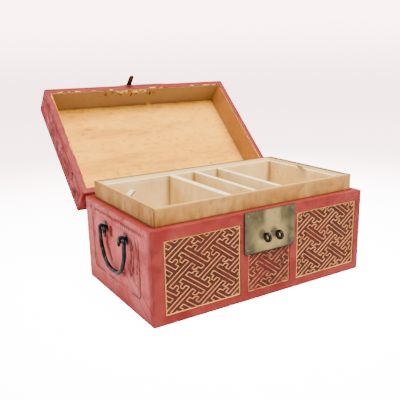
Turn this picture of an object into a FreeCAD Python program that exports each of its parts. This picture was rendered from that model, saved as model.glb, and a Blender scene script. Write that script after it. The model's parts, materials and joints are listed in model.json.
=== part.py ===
"""Leather-covered jewellery case with a hinged lid, a lift-out tray and two drop bails.

Millimetres, +Z up, X along the front, Y from front to back.
The origin is the middle of the underside.
The lid is built closed and then swung open about its hinge axis to its stop.
"""
import FreeCAD, Part
import math
import os

V = FreeCAD.Vector
X_AXIS, Y_AXIS = V(1, 0, 0), V(0, 1, 0)

# ---------------------------------------------------------------- driving dimensions
BODY_W, BODY_D, BODY_H = 280.0, 168.0, 98.5
LID_H = 39.0
RIM_GAP = 0.2                 # between body rim and lid rim when shut
LID_OPEN_DEG = 136.2          # from shut to the hinge stop
FRONT_SHIFT = 2.3             # the front's layout sits a little right of the middle

LEATHER = 1.2                 # leather on the sides and back
BASE_COVER = 0.8
RIM_LEATHER = 1.2
FRAME = 2.2                   # leather-covered front frame
FRET_PANEL = 1.2
WALL = 9.2                    # whole body wall, outside face to collar
LID_WALL = 7.8                # whole lid wall, outside face to paper
BOTTOM_BOARD = 7.0
BACK_ROUND, FRAME_ROUND, BASE_ROUND = 2.0, 1.0, 1.5   # radii of upright corners
TOP_EDGE_ROUND, COLLAR_ROUND = 1.0, 0.8

COLLAR = 4.0
COLLAR_RISE = 18.8            # collar above the body rim
CAVITY_PAPER = 0.5
LID_PAPER = 0.6
LID_TOP_BOARD = 3.0
LID_TOP_FRAME = 1.6
LID_TOP_PANEL = 0.8
LID_RIM = 1.0                 # leather turned over the lid's rim

PANEL_SPANS = {"left": (-128.6, -38.4), "centre": (-28.8, 28.8), "right": (38.4, 128.6)}
PANEL_LOW, PANEL_HIGH = 9.0, 87.2
LID_PANEL_MARGIN = 7.0        # above and below the lid front's panels
LID_TOP_MARGIN = 12.0         # in front of and behind the lid top's panels

PLATE_HALF_W = 33.9
PLATE_T = 1.0
BODY_PLATE_DROP = 45.7
LID_PLATE_RISE = 28.3
PLATE_CLIP = 3.0
PLATE_NAIL_INSET = 4.0
LOST_NAIL_X, LOST_NAIL_RISE, LOST_NAIL_R = 1.6, 3.4, 1.0   # beside the staples
PANEL_NAIL_DROP = 8.3         # below the plate

STAPLE_PITCH = 16.4
STAPLE_DROP = 29.1            # eye centre below the body rim
STAPLE_OUT = 5.4              # eye centre in front of the plate
STAPLE_R, STAPLE_BORE, STAPLE_T = 5.4, 2.75, 2.6
STAPLE_FOOT = 6.8             # height of the foot on the plate
STAPLE_SHANK_W, STAPLE_SHANK_H, STAPLE_SHANK_DEPTH = 2.0, 3.2, 5.8

RIVET_HALF_PITCH = 14.4
RIVET_X = 0.4
RIVET_RISE = 8.7              # above the lid rim
RIVET_HEAD_R, RIVET_HEAD_H, RIVET_SHANK_R = 2.2, 1.3, 0.9
CLINCH_W, CLINCH_T, CLINCH_L, CLINCH_LEAN_DEG = 1.6, 0.55, 4.6, 12.0

TONGUE_X = -17.2
TONGUE_W, TONGUE_T = 7.4, 1.35
TONGUE_PAST_RIM = 16.6
TONGUE_AXIS_RISE = 4.2        # hinge axis above the lid rim
TONGUE_KNUCKLE_R, TONGUE_PIN_R = 1.9, 0.9
TONGUE_GAP = 0.2              # knuckle to plate
TONGUE_SIDE_GAP = 0.2         # tongue to each ear
EAR_W, EAR_NECK = 2.2, 2.8

HANDLE_Y, HANDLE_Z = -2.0, 77.0
EYE_HALF_PITCH = 26.0
EYE_OUT = 5.0
EYE_R, EYE_W = 3.9, 3.4
EYE_SHANK, NECK_HALF = 8.5, 1.2
BAIL_R = 2.2
RUNNING_CLEARANCE = 0.08
WASHER_R, WASHER_T = 5.2, 0.9
# half of a bail's line, as (along Y, up) from its pivot, and the bend radius at each inner point
BAIL_HALF = [(18.3, -9.0), (19.6, 0.0), (31.8, 0.0), (30.6, -19.0), (19.0, -40.4), (0.0, -42.0)]
BAIL_BENDS = [3.4, 3.6, 24.0, 20.0, 60.0, 20.0, 24.0, 3.6, 3.4]

HINGE_X = 85.0
HINGE_W = 30.0
HINGE_OUT = 2.9               # axis behind the back face
HINGE_KNUCKLE_R, HINGE_PIN_R = 2.5, 1.2
HINGE_LEAF_T, HINGE_LEAF_H = 1.0, 22.0
HINGE_MIDDLE = 9.4            # lid knuckle between the two body knuckles
HINGE_GAP = 0.2               # leaf edge to the other knuckles
HINGE_KNUCKLE_GAP = 0.3
HINGE_NAIL_PITCH = 10.0
HINGE_NAIL_DROPS = (13.0, 18.0, 13.0)   # from the axis, the middle nail further out
STOP_W, STOP_T, STOP_REACH, STOP_GAP = 8.0, 1.8, 14.0, 0.03

TRAY_CLEAR = 0.6
TRAY_TOP_DROP = 4.2           # tray rim below the collar's top edge
TRAY_DEPTH = 47.1
TRAY_BOARD = 3.0
DIVIDER_DROP = 0.2
# middle and thickness of each divider
DIVIDERS = {"left_divider": (-32.4, 7.5), "middle_divider": (2.8, 5.2), "right_divider": (38.2, 5.2)}
TRAY_PAPER = 0.4
BATTEN_W, BATTEN_H, BATTEN_INSET = 6.0, 8.0, 5.0
TRAY_SEAT_GAP = 0.1
TAB_W, TAB_T, TAB_REACH, TAB_DROP = 12.0, 0.8, 8.0, 12.0
TAB_Y = {"left": 3.0, "right": -1.0}

NAIL_HEAD_R, NAIL_HEAD_H, NAIL_SHANK_R = 1.5, 0.6, 0.7

# ---------------------------------------------------------------- places worked out from them
HALF_W, HALF_D = BODY_W / 2, BODY_D / 2
FRONT_BACK = -HALF_D + FRAME          # rear face of the front frame
LEATHER_TOP = BODY_H - RIM_LEATHER
COLLAR_X, COLLAR_Y = HALF_W - WALL, HALF_D - WALL
COLLAR_TOP = BODY_H + COLLAR_RISE
BOTTOM_TOP = BASE_COVER + BOTTOM_BOARD
LID_LOW = BODY_H + RIM_GAP
LID_HIGH = BODY_H + LID_H
LID_RIM_TOP = LID_LOW + LID_RIM
LID_WRAP_TOP = LID_HIGH - LID_TOP_FRAME
LID_BOARD_LOW = LID_WRAP_TOP - LID_TOP_BOARD
HINGE_Y = HALF_D + HINGE_OUT
HINGE_Z = BODY_H + RIM_GAP / 2
PLATE_FACE = -HALF_D - PLATE_T
TRAY_X = COLLAR_X - COLLAR - CAVITY_PAPER - TRAY_CLEAR
TRAY_Y = COLLAR_Y - COLLAR - CAVITY_PAPER - TRAY_CLEAR
TRAY_TOP = COLLAR_TOP - TRAY_TOP_DROP
TRAY_LOW = TRAY_TOP - TRAY_DEPTH
TRAY_FLOOR_TOP = TRAY_LOW + TRAY_BOARD
TRAY_PAPER_TOP = TRAY_TOP - DIVIDER_DROP - 0.2
SIDES = (-1, 1)

nodes = {}
lid_nodes = []


# ---------------------------------------------------------------- helpers
def block(x0, x1, y0, y1, z0, z1):
    """A box between two corners."""
    return Part.makeBox(x1 - x0, y1 - y0, z1 - z0, V(x0, y0, z0))


def rod(radius, start, end):
    """A round bar between two points."""
    return Part.makeCylinder(radius, (end - start).Length, start, end - start)


def fuse(shapes):
    """One solid from touching or overlapping shapes."""
    return shapes[0].multiFuse(shapes[1:]).removeSplitter()


def group(shapes):
    """Separate solids that share a node."""
    return Part.makeCompound(shapes)


def edges_where(shape, test):
    """The edges whose middle point and direction pass the test."""
    found = []
    for edge in shape.Edges:
        low, high = edge.firstVertex().Point, edge.lastVertex().Point
        if test((low + high) * 0.5, high - low):
            found.append(edge)
    return found


def rounded_corners(shape, radius, test):
    """Round the upright edges that pass the test."""
    upright = edges_where(
        shape, lambda middle, along: abs(along.x) + abs(along.y) < 1e-6 and test(middle))
    return shape.makeFillet(radius, upright)


def drill(names, tool):
    """Take a fastener's shank out of every piece that it passes through."""
    for name in names:
        nodes[name] = nodes[name].cut(tool)


def add(name, shape, on_lid=False):
    """Keep a node's shape under its name."""
    nodes[name] = shape
    if on_lid:
        lid_nodes.append(name)


def panel_span(side):
    """Left and right edge of a fret panel."""
    low, high = PANEL_SPANS[side]
    return low + FRONT_SHIFT, high + FRONT_SHIFT


def domed_nail(place, inwards, length, head_r=NAIL_HEAD_R, head_h=NAIL_HEAD_H):
    """A nail with a low domed head on a face; inwards is the unit vector into the wood."""
    ball_r = (head_r ** 2 + head_h ** 2) / (2 * head_h)
    ball = Part.makeSphere(ball_r, place + inwards * (ball_r - head_h))
    cap = ball.common(Part.makeCylinder(head_r, head_h, place, inwards * -1))
    return fuse([cap, rod(NAIL_SHANK_R, place, place + inwards * length)])


def bent_rod(points, radius, bend):
    """A round bar along straight runs joined by tangent arcs."""
    edges = []
    start = points[0]
    for before, corner, after, size in zip(points, points[1:], points[2:], bend):
        inward = (before - corner).normalize()
        outward = (after - corner).normalize()
        half = inward.getAngle(outward) / 2
        back = size / math.tan(half)
        enter, leave = corner + inward * back, corner + outward * back
        centre = corner + (inward + outward).normalize() * (size / math.sin(half))
        middle = centre + (corner - centre).normalize() * size
        edges.append(Part.LineSegment(start, enter).toShape())
        edges.append(Part.Arc(enter, middle, leave).toShape())
        start = leave
    edges.append(Part.LineSegment(start, points[-1]).toShape())
    path = Part.Wire(edges)
    along = (points[1] - points[0]).normalize()
    ring = Part.Wire(Part.makeCircle(radius, points[0], along))
    return path.makePipeShell([ring], True, True)


# ---------------------------------------------------------------- body carcass
def make_carcass():
    """Boards, base cover, leather wrap and turned-over rim of the body."""
    side_in = HALF_W - LEATHER
    back_in = HALF_D - LEATHER
    low, high = BASE_COVER, LEATHER_TOP
    add("front_board", block(-side_in, side_in, FRONT_BACK, -COLLAR_Y, low, high))
    add("back_board", block(-side_in, side_in, COLLAR_Y, back_in, low, high))
    add("left_board", block(-side_in, -COLLAR_X, -COLLAR_Y, COLLAR_Y, low, high))
    add("right_board", block(COLLAR_X, side_in, -COLLAR_Y, COLLAR_Y, low, high))
    add("bottom_board", block(-COLLAR_X, COLLAR_X, -COLLAR_Y, COLLAR_Y, low, BOTTOM_TOP))
    base = block(-HALF_W, HALF_W, -HALF_D, HALF_D, 0, BASE_COVER)
    add("base_cover", rounded_corners(base, BASE_ROUND, lambda middle: True))
    add("body_leather", leather_wrap(low, high))
    rim = rounded_corners(
        block(-HALF_W, HALF_W, FRONT_BACK, HALF_D, LEATHER_TOP, BODY_H),
        BACK_ROUND, lambda middle: middle.y > 0)
    add("rim_leather", rim.cut(
        block(-COLLAR_X, COLLAR_X, -COLLAR_Y, COLLAR_Y, LEATHER_TOP - 1, BODY_H + 1)))


def leather_wrap(low, high):
    """One strip of leather round the left side, the back and the right side."""
    outside = rounded_corners(
        block(-HALF_W, HALF_W, FRONT_BACK, HALF_D, low, high),
        BACK_ROUND, lambda middle: middle.y > 0)
    inside = block(-HALF_W + LEATHER, HALF_W - LEATHER, -HALF_D, HALF_D - LEATHER, low - 1, high + 1)
    return outside.cut(inside)


def framed_front(low, high, window_low, window_high, sides):
    """The leather-covered frame in front of a front board, open at the fret panels."""
    frame = rounded_corners(
        block(-HALF_W, HALF_W, -HALF_D, FRONT_BACK, low, high),
        FRAME_ROUND, lambda middle: middle.y < -HALF_D + 0.01)
    for side in sides:
        left, right = panel_span(side)
        frame = frame.cut(
            block(left, right, -HALF_D - 1, FRONT_BACK + 1, window_low, window_high))
    return frame


def front_panel(side, low, high):
    """The plate of one embossed panel; its relief stands on this ground."""
    left, right = panel_span(side)
    return block(left, right, FRONT_BACK - FRET_PANEL, FRONT_BACK, low, high)


def make_front():
    """Front frame and the three fret panels of the body."""
    add("front_frame", framed_front(BASE_COVER, BODY_H, PANEL_LOW, PANEL_HIGH, PANEL_SPANS))
    for side in PANEL_SPANS:
        add(side + "_fret_panel", front_panel(side, PANEL_LOW, PANEL_HIGH))


def eased_outer_edge(board, past_face):
    """Round a collar board's long top edge on the outside, where past_face is 0."""
    edges = edges_where(board, lambda middle, along: along.Length > 2 * COLLAR
                        and middle.z > COLLAR_TOP - 0.01 and abs(past_face(middle)) < 0.01)
    return board.makeFillet(COLLAR_ROUND, edges)


def make_collar():
    """Collar boards that line the body and rise above its rim, paper and tray battens."""
    inner_x, inner_y = COLLAR_X - COLLAR, COLLAR_Y - COLLAR
    for name, low, high in (("front", -COLLAR_Y, -inner_y), ("back", inner_y, COLLAR_Y)):
        board = block(-COLLAR_X, COLLAR_X, low, high, BOTTOM_TOP, COLLAR_TOP)
        add("collar_" + name, eased_outer_edge(board, lambda place: abs(place.y) - COLLAR_Y))
    for name, low, high in (("left", -COLLAR_X, -inner_x), ("right", inner_x, COLLAR_X)):
        board = block(low, high, -inner_y, inner_y, BOTTOM_TOP, COLLAR_TOP)
        add("collar_" + name, eased_outer_edge(board, lambda place: abs(place.x) - COLLAR_X))
    paper_x, paper_y = inner_x - CAVITY_PAPER, inner_y - CAVITY_PAPER
    paper = block(-inner_x, inner_x, -inner_y, inner_y, BOTTOM_TOP, COLLAR_TOP - 0.4)
    add("cavity_lining", paper.cut(block(
        -paper_x, paper_x, -paper_y, paper_y, BOTTOM_TOP + CAVITY_PAPER, COLLAR_TOP + 1)))
    batten_top = TRAY_LOW - TRAY_SEAT_GAP
    battens = []
    for side in SIDES:
        ends = sorted((side * paper_x, side * (paper_x - BATTEN_W)))
        battens.append(block(*ends, -paper_y + BATTEN_INSET, paper_y - BATTEN_INSET,
                             batten_top - BATTEN_H, batten_top))
    add("tray_battens", group(battens))


# ---------------------------------------------------------------- lock
def lock_plate(low, high, clip_low):
    """A brass plate on the front with the two corners away from the rim clipped."""
    left, right = FRONT_SHIFT - PLATE_HALF_W, FRONT_SHIFT + PLATE_HALF_W
    plate = block(left, right, PLATE_FACE, -HALF_D, low, high)
    clipped = low if clip_low else high
    corners = edges_where(plate, lambda middle, along: abs(along.y) > 0.1
                          and abs(middle.z - clipped) < 0.01)
    return plate.makeFillet(PLATE_CLIP, corners)


def plate_nails(heights, length):
    """Four small nails near the corners of a lock plate."""
    nails = []
    for side in SIDES:
        for height in heights:
            place = V(FRONT_SHIFT + side * (PLATE_HALF_W - PLATE_NAIL_INSET), PLATE_FACE, height)
            nails.append(domed_nail(place, Y_AXIS, length))
    return nails


def staple(x, z):
    """A flat eye standing out of the lock plate on a shank driven into the board."""
    eye_y = PLATE_FACE - STAPLE_OUT
    left, right = x - STAPLE_T / 2, x + STAPLE_T / 2
    start = V(left, eye_y, z)
    eye = Part.makeCylinder(STAPLE_R, STAPLE_T, start, X_AXIS)
    in_front = block(left, right, eye_y - STAPLE_R, PLATE_FACE, z - STAPLE_R, z + STAPLE_R)
    foot = block(left, right, eye_y, PLATE_FACE, z - STAPLE_FOOT / 2, z + STAPLE_FOOT / 2)
    shank = block(x - STAPLE_SHANK_W / 2, x + STAPLE_SHANK_W / 2, PLATE_FACE - 0.5,
                  FRONT_BACK + STAPLE_SHANK_DEPTH, z - STAPLE_SHANK_H / 2, z + STAPLE_SHANK_H / 2)
    bore = Part.makeCylinder(STAPLE_BORE, STAPLE_T + 2, start - X_AXIS, X_AXIS)
    return fuse([eye.common(in_front), foot, shank]).cut(bore)


def make_body_lock():
    """Body lock plate with its nails, a lost nail's hole and the two staples."""
    low = BODY_H - BODY_PLATE_DROP
    add("body_lock_plate", lock_plate(low, BODY_H, True))
    nails = plate_nails((low + PLATE_NAIL_INSET, BODY_H - PLATE_NAIL_INSET), PLATE_T + FRAME + 4)
    add("body_plate_nails", group(nails))
    eye_z = BODY_H - STAPLE_DROP
    staples = [staple(FRONT_SHIFT + side * STAPLE_PITCH / 2, eye_z) for side in SIDES]
    add("lock_staples", group(staples))
    hole = V(FRONT_SHIFT + LOST_NAIL_X, PLATE_FACE - 1, eye_z + LOST_NAIL_RISE)
    drill(["body_lock_plate"], rod(LOST_NAIL_R, hole, hole + Y_AXIS * (PLATE_T + 2)))
    panel_nail = domed_nail(V(FRONT_SHIFT, FRONT_BACK - FRET_PANEL, low - PANEL_NAIL_DROP), Y_AXIS, 5.0)
    add("panel_nail", panel_nail)
    for tool in nails + staples + [panel_nail]:
        drill(["body_lock_plate", "front_frame", "centre_fret_panel", "front_board"], tool)


def make_lid_lock():
    """Lid lock plate with hinge ears, its nails and rivets, the tongue and its pin."""
    plate = lock_plate(LID_LOW, LID_LOW + LID_PLATE_RISE, False)
    axis_y = PLATE_FACE - TONGUE_GAP - TONGUE_KNUCKLE_R
    axis_z = LID_LOW + TONGUE_AXIS_RISE
    ears = []
    for side in SIDES:
        near, far = sorted((TONGUE_X + side * TONGUE_W / 2,
                            TONGUE_X + side * (TONGUE_W / 2 + EAR_W)))
        ears.append(rod(TONGUE_KNUCKLE_R, V(near, axis_y, axis_z), V(far, axis_y, axis_z)))
        ears.append(block(near, far, axis_y, PLATE_FACE, axis_z - EAR_NECK / 2, axis_z + EAR_NECK / 2))
    reach = TONGUE_W / 2 + EAR_W
    pin = rod(TONGUE_PIN_R, V(TONGUE_X - reach, axis_y, axis_z), V(TONGUE_X + reach, axis_y, axis_z))
    add("lid_lock_plate", fuse([plate] + ears).cut(pin), True)
    add("tongue_pin", pin, True)
    add("hasp_tongue", hasp_tongue(axis_y, axis_z), True)

    nails = plate_nails((LID_LOW + LID_PLATE_RISE - PLATE_NAIL_INSET,), PLATE_T + FRAME + 3)
    add("lid_plate_nails", group(nails), True)
    rivets = [lid_rivet(RIVET_X + side * RIVET_HALF_PITCH, side) for side in SIDES]
    add("lid_plate_rivets", group(rivets), True)
    for tool in nails + rivets:
        drill(["lid_lock_plate", "lid_front_frame", "lid_front_board", "lid_lining"], tool)


def hasp_tongue(axis_y, axis_z):
    """A narrow strap with a curled knuckle and a rounded tip."""
    half = TONGUE_W / 2 - TONGUE_SIDE_GAP
    knuckle = rod(TONGUE_KNUCKLE_R, V(TONGUE_X - half, axis_y, axis_z),
                  V(TONGUE_X + half, axis_y, axis_z))
    back = PLATE_FACE - TONGUE_GAP - 0.05
    tip = LID_LOW - TONGUE_PAST_RIM
    strap = block(TONGUE_X - half, TONGUE_X + half, back - TONGUE_T, back, tip, axis_z)
    ends = edges_where(strap, lambda middle, along: abs(along.y) > 0.1
                       and abs(middle.z - tip) < 0.01)
    strap = strap.makeFillet(half - 0.3, ends)
    bore = rod(TONGUE_PIN_R + RUNNING_CLEARANCE, V(TONGUE_X - TONGUE_W, axis_y, axis_z),
               V(TONGUE_X + TONGUE_W, axis_y, axis_z))
    return fuse([knuckle, strap]).cut(bore)


def lid_rivet(x, side):
    """A rivet through the lid's front wall, its inner end bent over on the paper."""
    z = LID_LOW + RIVET_RISE
    inner = -HALF_D + LID_WALL
    head = domed_nail(V(x, PLATE_FACE, z), Y_AXIS, FRAME, RIVET_HEAD_R, RIVET_HEAD_H)
    shank = rod(RIVET_SHANK_R, V(x, PLATE_FACE, z), V(x, inner + CLINCH_T, z))
    clinch = block(x - CLINCH_W / 2, x + CLINCH_W / 2, inner - 0.5, inner + CLINCH_T,
                   z - RIVET_SHANK_R, z + CLINCH_L)
    clinch.rotate(V(x, inner, z), Y_AXIS, side * CLINCH_LEAN_DEG)
    return fuse([head, shank, clinch])


# ---------------------------------------------------------------- handles
def make_handles():
    """Two drop bails, each in two eye posts with washers."""
    eyes, washers = [], []
    for side in SIDES:
        face_x = side * HALF_W
        eye_x = face_x + side * EYE_OUT
        for end in SIDES:
            y = HANDLE_Y + end * EYE_HALF_PITCH
            eye = eye_post(face_x, eye_x, y)
            plate = rod(WASHER_R, V(face_x, y, HANDLE_Z), V(face_x + side * WASHER_T, y, HANDLE_Z))
            eyes.append(eye)
            washers.append(plate.cut(eye))
        add("left_bail" if side < 0 else "right_bail", bail(eye_x))
    add("handle_eyes", group(eyes))
    add("handle_washers", group(washers))
    for tool in eyes:
        drill(["body_leather", "left_board", "right_board"], tool)


def eye_post(face_x, eye_x, y):
    """A flat eye on a square neck that is driven through the leather into the side board."""
    start = V(eye_x, y - EYE_W / 2, HANDLE_Z)
    ring = Part.makeCylinder(EYE_R, EYE_W, start, Y_AXIS)
    inner = face_x - math.copysign(EYE_SHANK, face_x)
    neck = block(*sorted((eye_x, inner)), y - NECK_HALF, y + NECK_HALF,
                 HANDLE_Z - NECK_HALF, HANDLE_Z + NECK_HALF)
    bore = Part.makeCylinder(BAIL_R + RUNNING_CLEARANCE, EYE_W + 2, start - Y_AXIS, Y_AXIS)
    return fuse([ring, neck]).cut(bore)


def bail(x):
    """A round bar bent to a drop handle; its ends pass the eyes and hook down inside."""
    outline = BAIL_HALF + [(-y, z) for y, z in reversed(BAIL_HALF[:-1])]
    points = [V(x, HANDLE_Y + y, HANDLE_Z + z) for y, z in outline]
    return bent_rod(points, BAIL_R, BAIL_BENDS)


# ---------------------------------------------------------------- hinges
def hinge_leaf(x, up, knuckles):
    """One leaf of a butt hinge on the back face; up is 1 on the lid and -1 on the body."""
    clear = HINGE_KNUCKLE_R + HINGE_GAP
    tail = sorted((HINGE_Z + up * clear, HINGE_Z + up * HINGE_LEAF_H))
    leaf = [block(x - HINGE_W / 2, x + HINGE_W / 2, HALF_D, HALF_D + HINGE_LEAF_T, *tail)]
    for low, high in knuckles:
        neck = sorted((HINGE_Z, HINGE_Z + up * (clear + 0.5)))
        leaf.append(block(x + low, x + high, HALF_D, HALF_D + HINGE_LEAF_T, *neck))
        leaf.append(rod(HINGE_KNUCKLE_R, V(x + low, HINGE_Y, HINGE_Z), V(x + high, HINGE_Y, HINGE_Z)))
    return leaf


def hinge_bore(x, radius):
    """The hole for a hinge pin."""
    reach = HINGE_W / 2 + 1
    return rod(radius, V(x - reach, HINGE_Y, HINGE_Z), V(x + reach, HINGE_Y, HINGE_Z))


def make_hinges():
    """Two butt hinges whose lid leaves carry a lug that stops on the body leaf."""
    body_leaves, lid_leaves, pins, body_nails, lid_nails = [], [], [], [], []
    middle = HINGE_MIDDLE / 2
    for side in SIDES:
        x = side * HINGE_X
        outer = [(-HINGE_W / 2, -middle - HINGE_KNUCKLE_GAP), (middle + HINGE_KNUCKLE_GAP, HINGE_W / 2)]
        body_leaves.append(fuse(hinge_leaf(x, -1, outer)).cut(hinge_bore(x, HINGE_PIN_R)))
        lug_low = HINGE_Z + HINGE_KNUCKLE_R + 0.7
        lug = block(x - STOP_W / 2, x + STOP_W / 2, HALF_D + 0.2, HALF_D + STOP_REACH,
                    lug_low, lug_low + STOP_T)
        leaf = fuse(hinge_leaf(x, 1, [(-middle, middle)]) + [lug])
        lid_leaves.append(leaf.cut(hinge_bore(x, HINGE_PIN_R + 0.05)))
        pins.append(rod(HINGE_PIN_R, V(x - HINGE_W / 2, HINGE_Y, HINGE_Z),
                        V(x + HINGE_W / 2, HINGE_Y, HINGE_Z)))
        for column, drop in zip((-1, 0, 1), HINGE_NAIL_DROPS):
            for up, found, depth in ((-1, body_nails, 7.0), (1, lid_nails, 6.0)):
                place = V(x + column * HINGE_NAIL_PITCH, HALF_D + HINGE_LEAF_T, HINGE_Z + up * drop)
                found.append(domed_nail(place, Y_AXIS * -1, depth))
    add("body_hinge_leaves", group(body_leaves))
    add("lid_hinge_leaves", group(lid_leaves), True)
    add("hinge_pins", group(pins))
    add("body_hinge_nails", group(body_nails))
    add("lid_hinge_nails", group(lid_nails), True)
    for tool in body_nails:
        drill(["body_hinge_leaves", "body_leather", "back_board"], tool)
    for tool in lid_nails:
        drill(["lid_hinge_leaves", "lid_leather", "lid_back_board"], tool)


# ---------------------------------------------------------------- lid, built shut
def make_lid():
    """Boards, leather, frames, fret panels and paper of the lid."""
    side_in, back_in = HALF_W - LEATHER, HALF_D - LEATHER
    board_x, board_y = HALF_W - LID_WALL + LID_PAPER, HALF_D - LID_WALL + LID_PAPER
    low, high = LID_RIM_TOP, LID_BOARD_LOW
    add("lid_front_board", block(-side_in, side_in, FRONT_BACK, -board_y, low, high), True)
    add("lid_back_board", block(-side_in, side_in, board_y, back_in, low, high), True)
    add("lid_left_board", block(-side_in, -board_x, -board_y, board_y, low, high), True)
    add("lid_right_board", block(board_x, side_in, -board_y, board_y, low, high), True)
    add("lid_top_board", block(-side_in, side_in, FRONT_BACK, back_in, high, LID_WRAP_TOP), True)
    add("lid_leather", leather_wrap(low, LID_WRAP_TOP), True)
    rim = rounded_corners(block(-HALF_W, HALF_W, FRONT_BACK, HALF_D, LID_LOW, LID_RIM_TOP),
                          BACK_ROUND, lambda middle: middle.y > 0)
    add("lid_rim_leather", rim.cut(
        block(-board_x, board_x, -board_y, board_y, LID_LOW - 1, LID_RIM_TOP + 1)), True)
    paper_x, paper_y = board_x - LID_PAPER, board_y - LID_PAPER
    paper = block(-board_x, board_x, -board_y, board_y, LID_LOW, high)
    add("lid_lining", paper.cut(
        block(-paper_x, paper_x, -paper_y, paper_y, LID_LOW - 1, high - LID_PAPER)), True)

    window_low, window_high = LID_LOW + LID_PANEL_MARGIN, LID_WRAP_TOP - LID_PANEL_MARGIN
    outer = ("left", "right")
    add("lid_front_frame",
        framed_front(LID_LOW, LID_WRAP_TOP, window_low, window_high, outer), True)
    add("lid_front_fret_panels",
        group([front_panel(side, window_low, window_high) for side in outer]), True)

    top = block(-HALF_W, HALF_W, -HALF_D, HALF_D, LID_WRAP_TOP, LID_HIGH)
    top = rounded_corners(top, BACK_ROUND, lambda middle: True)
    rim_edges = edges_where(top, lambda middle, along: middle.z > LID_HIGH - 0.01)
    top = top.makeFillet(TOP_EDGE_ROUND, rim_edges)
    near, far = -HALF_D + LID_TOP_MARGIN, HALF_D - LID_TOP_MARGIN
    panels = []
    for side in PANEL_SPANS:
        left, right = panel_span(side)
        top = top.cut(block(left, right, near, far, LID_WRAP_TOP - 1, LID_HIGH + 1))
        panels.append(block(left, right, near, far, LID_WRAP_TOP, LID_WRAP_TOP + LID_TOP_PANEL))
    add("lid_top_frame", top, True)
    add("lid_top_fret_panels", group(panels), True)


def swing_lid_open():
    """Turn every lid piece from shut to the stop and trim the stop lugs to their seat."""
    for name in lid_nodes:
        shape = nodes[name].copy()
        shape.rotate(V(0, HINGE_Y, HINGE_Z), X_AXIS, -LID_OPEN_DEG)
        nodes[name] = shape
    seat = HALF_D + HINGE_LEAF_T + STOP_GAP
    trim = block(-HALF_W, HALF_W, 0, seat, HINGE_Z - HINGE_LEAF_H, HINGE_Z - HINGE_KNUCKLE_R - 0.1)
    nodes["lid_hinge_leaves"] = nodes["lid_hinge_leaves"].cut(trim)


# ---------------------------------------------------------------- tray
def make_tray():
    """Lift-out tray: boards, dividers, paper and two ribbon pull tabs."""
    wall_x, wall_y = TRAY_X - TRAY_BOARD, TRAY_Y - TRAY_BOARD
    low, high = TRAY_FLOOR_TOP, TRAY_TOP
    add("tray_floor", block(-TRAY_X, TRAY_X, -TRAY_Y, TRAY_Y, TRAY_LOW, low))
    add("tray_front", block(-TRAY_X, TRAY_X, -TRAY_Y, -wall_y, low, high))
    add("tray_back", block(-TRAY_X, TRAY_X, wall_y, TRAY_Y, low, high))
    add("tray_left", block(-TRAY_X, -wall_x, -wall_y, wall_y, low, high))
    add("tray_right", block(wall_x, TRAY_X, -wall_y, wall_y, low, high))
    edges = [-wall_x]
    for name, (x, thickness) in DIVIDERS.items():
        sides = (x - thickness / 2, x + thickness / 2)
        add(name, block(*sides, -wall_y, wall_y, low, high - DIVIDER_DROP))
        edges += sides
    edges.append(wall_x)
    papers = []
    for left, right in zip(edges[::2], edges[1::2]):
        paper = block(left, right, -wall_y, wall_y, low, TRAY_PAPER_TOP)
        papers.append(paper.cut(block(left + TRAY_PAPER, right - TRAY_PAPER, -wall_y + TRAY_PAPER,
                                      wall_y - TRAY_PAPER, low + TRAY_PAPER, high)))
    add("tray_lining", group(papers))
    for side in SIDES:
        name = "left" if side < 0 else "right"
        add(name + "_pull_tab", pull_tab(side, side * (wall_x - TRAY_PAPER), TAB_Y[name]))


def pull_tab(side, wall, y):
    """A short ribbon glued down the inside of a tray end, folded inwards at the rim."""
    drop = sorted((wall, wall - side * TAB_T))
    reach = sorted((wall, wall - side * TAB_REACH))
    top = TRAY_PAPER_TOP
    leg = block(*drop, y - TAB_W / 2, y + TAB_W / 2, top - TAB_DROP, top)
    fold = block(*reach, y - TAB_W / 2, y + TAB_W / 2, top - TAB_T, top)
    return fuse([leg, fold])


def main():
    """Build every node and write one STEP file for each."""
    make_carcass()
    make_front()
    make_collar()
    make_lid()
    make_body_lock()
    make_lid_lock()
    make_handles()
    make_hinges()
    make_tray()
    swing_lid_open()
    os.makedirs("parts", exist_ok=True)
    for name, shape in nodes.items():
        if not shape.isValid():
            raise ValueError(name + " is not a valid shape")
        shape.exportStep("parts/" + name + ".step")
    print(len(nodes), "nodes")


main()
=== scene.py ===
import json
import math
import bmesh
import bpy
from mathutils import Matrix, Vector, noise

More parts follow.
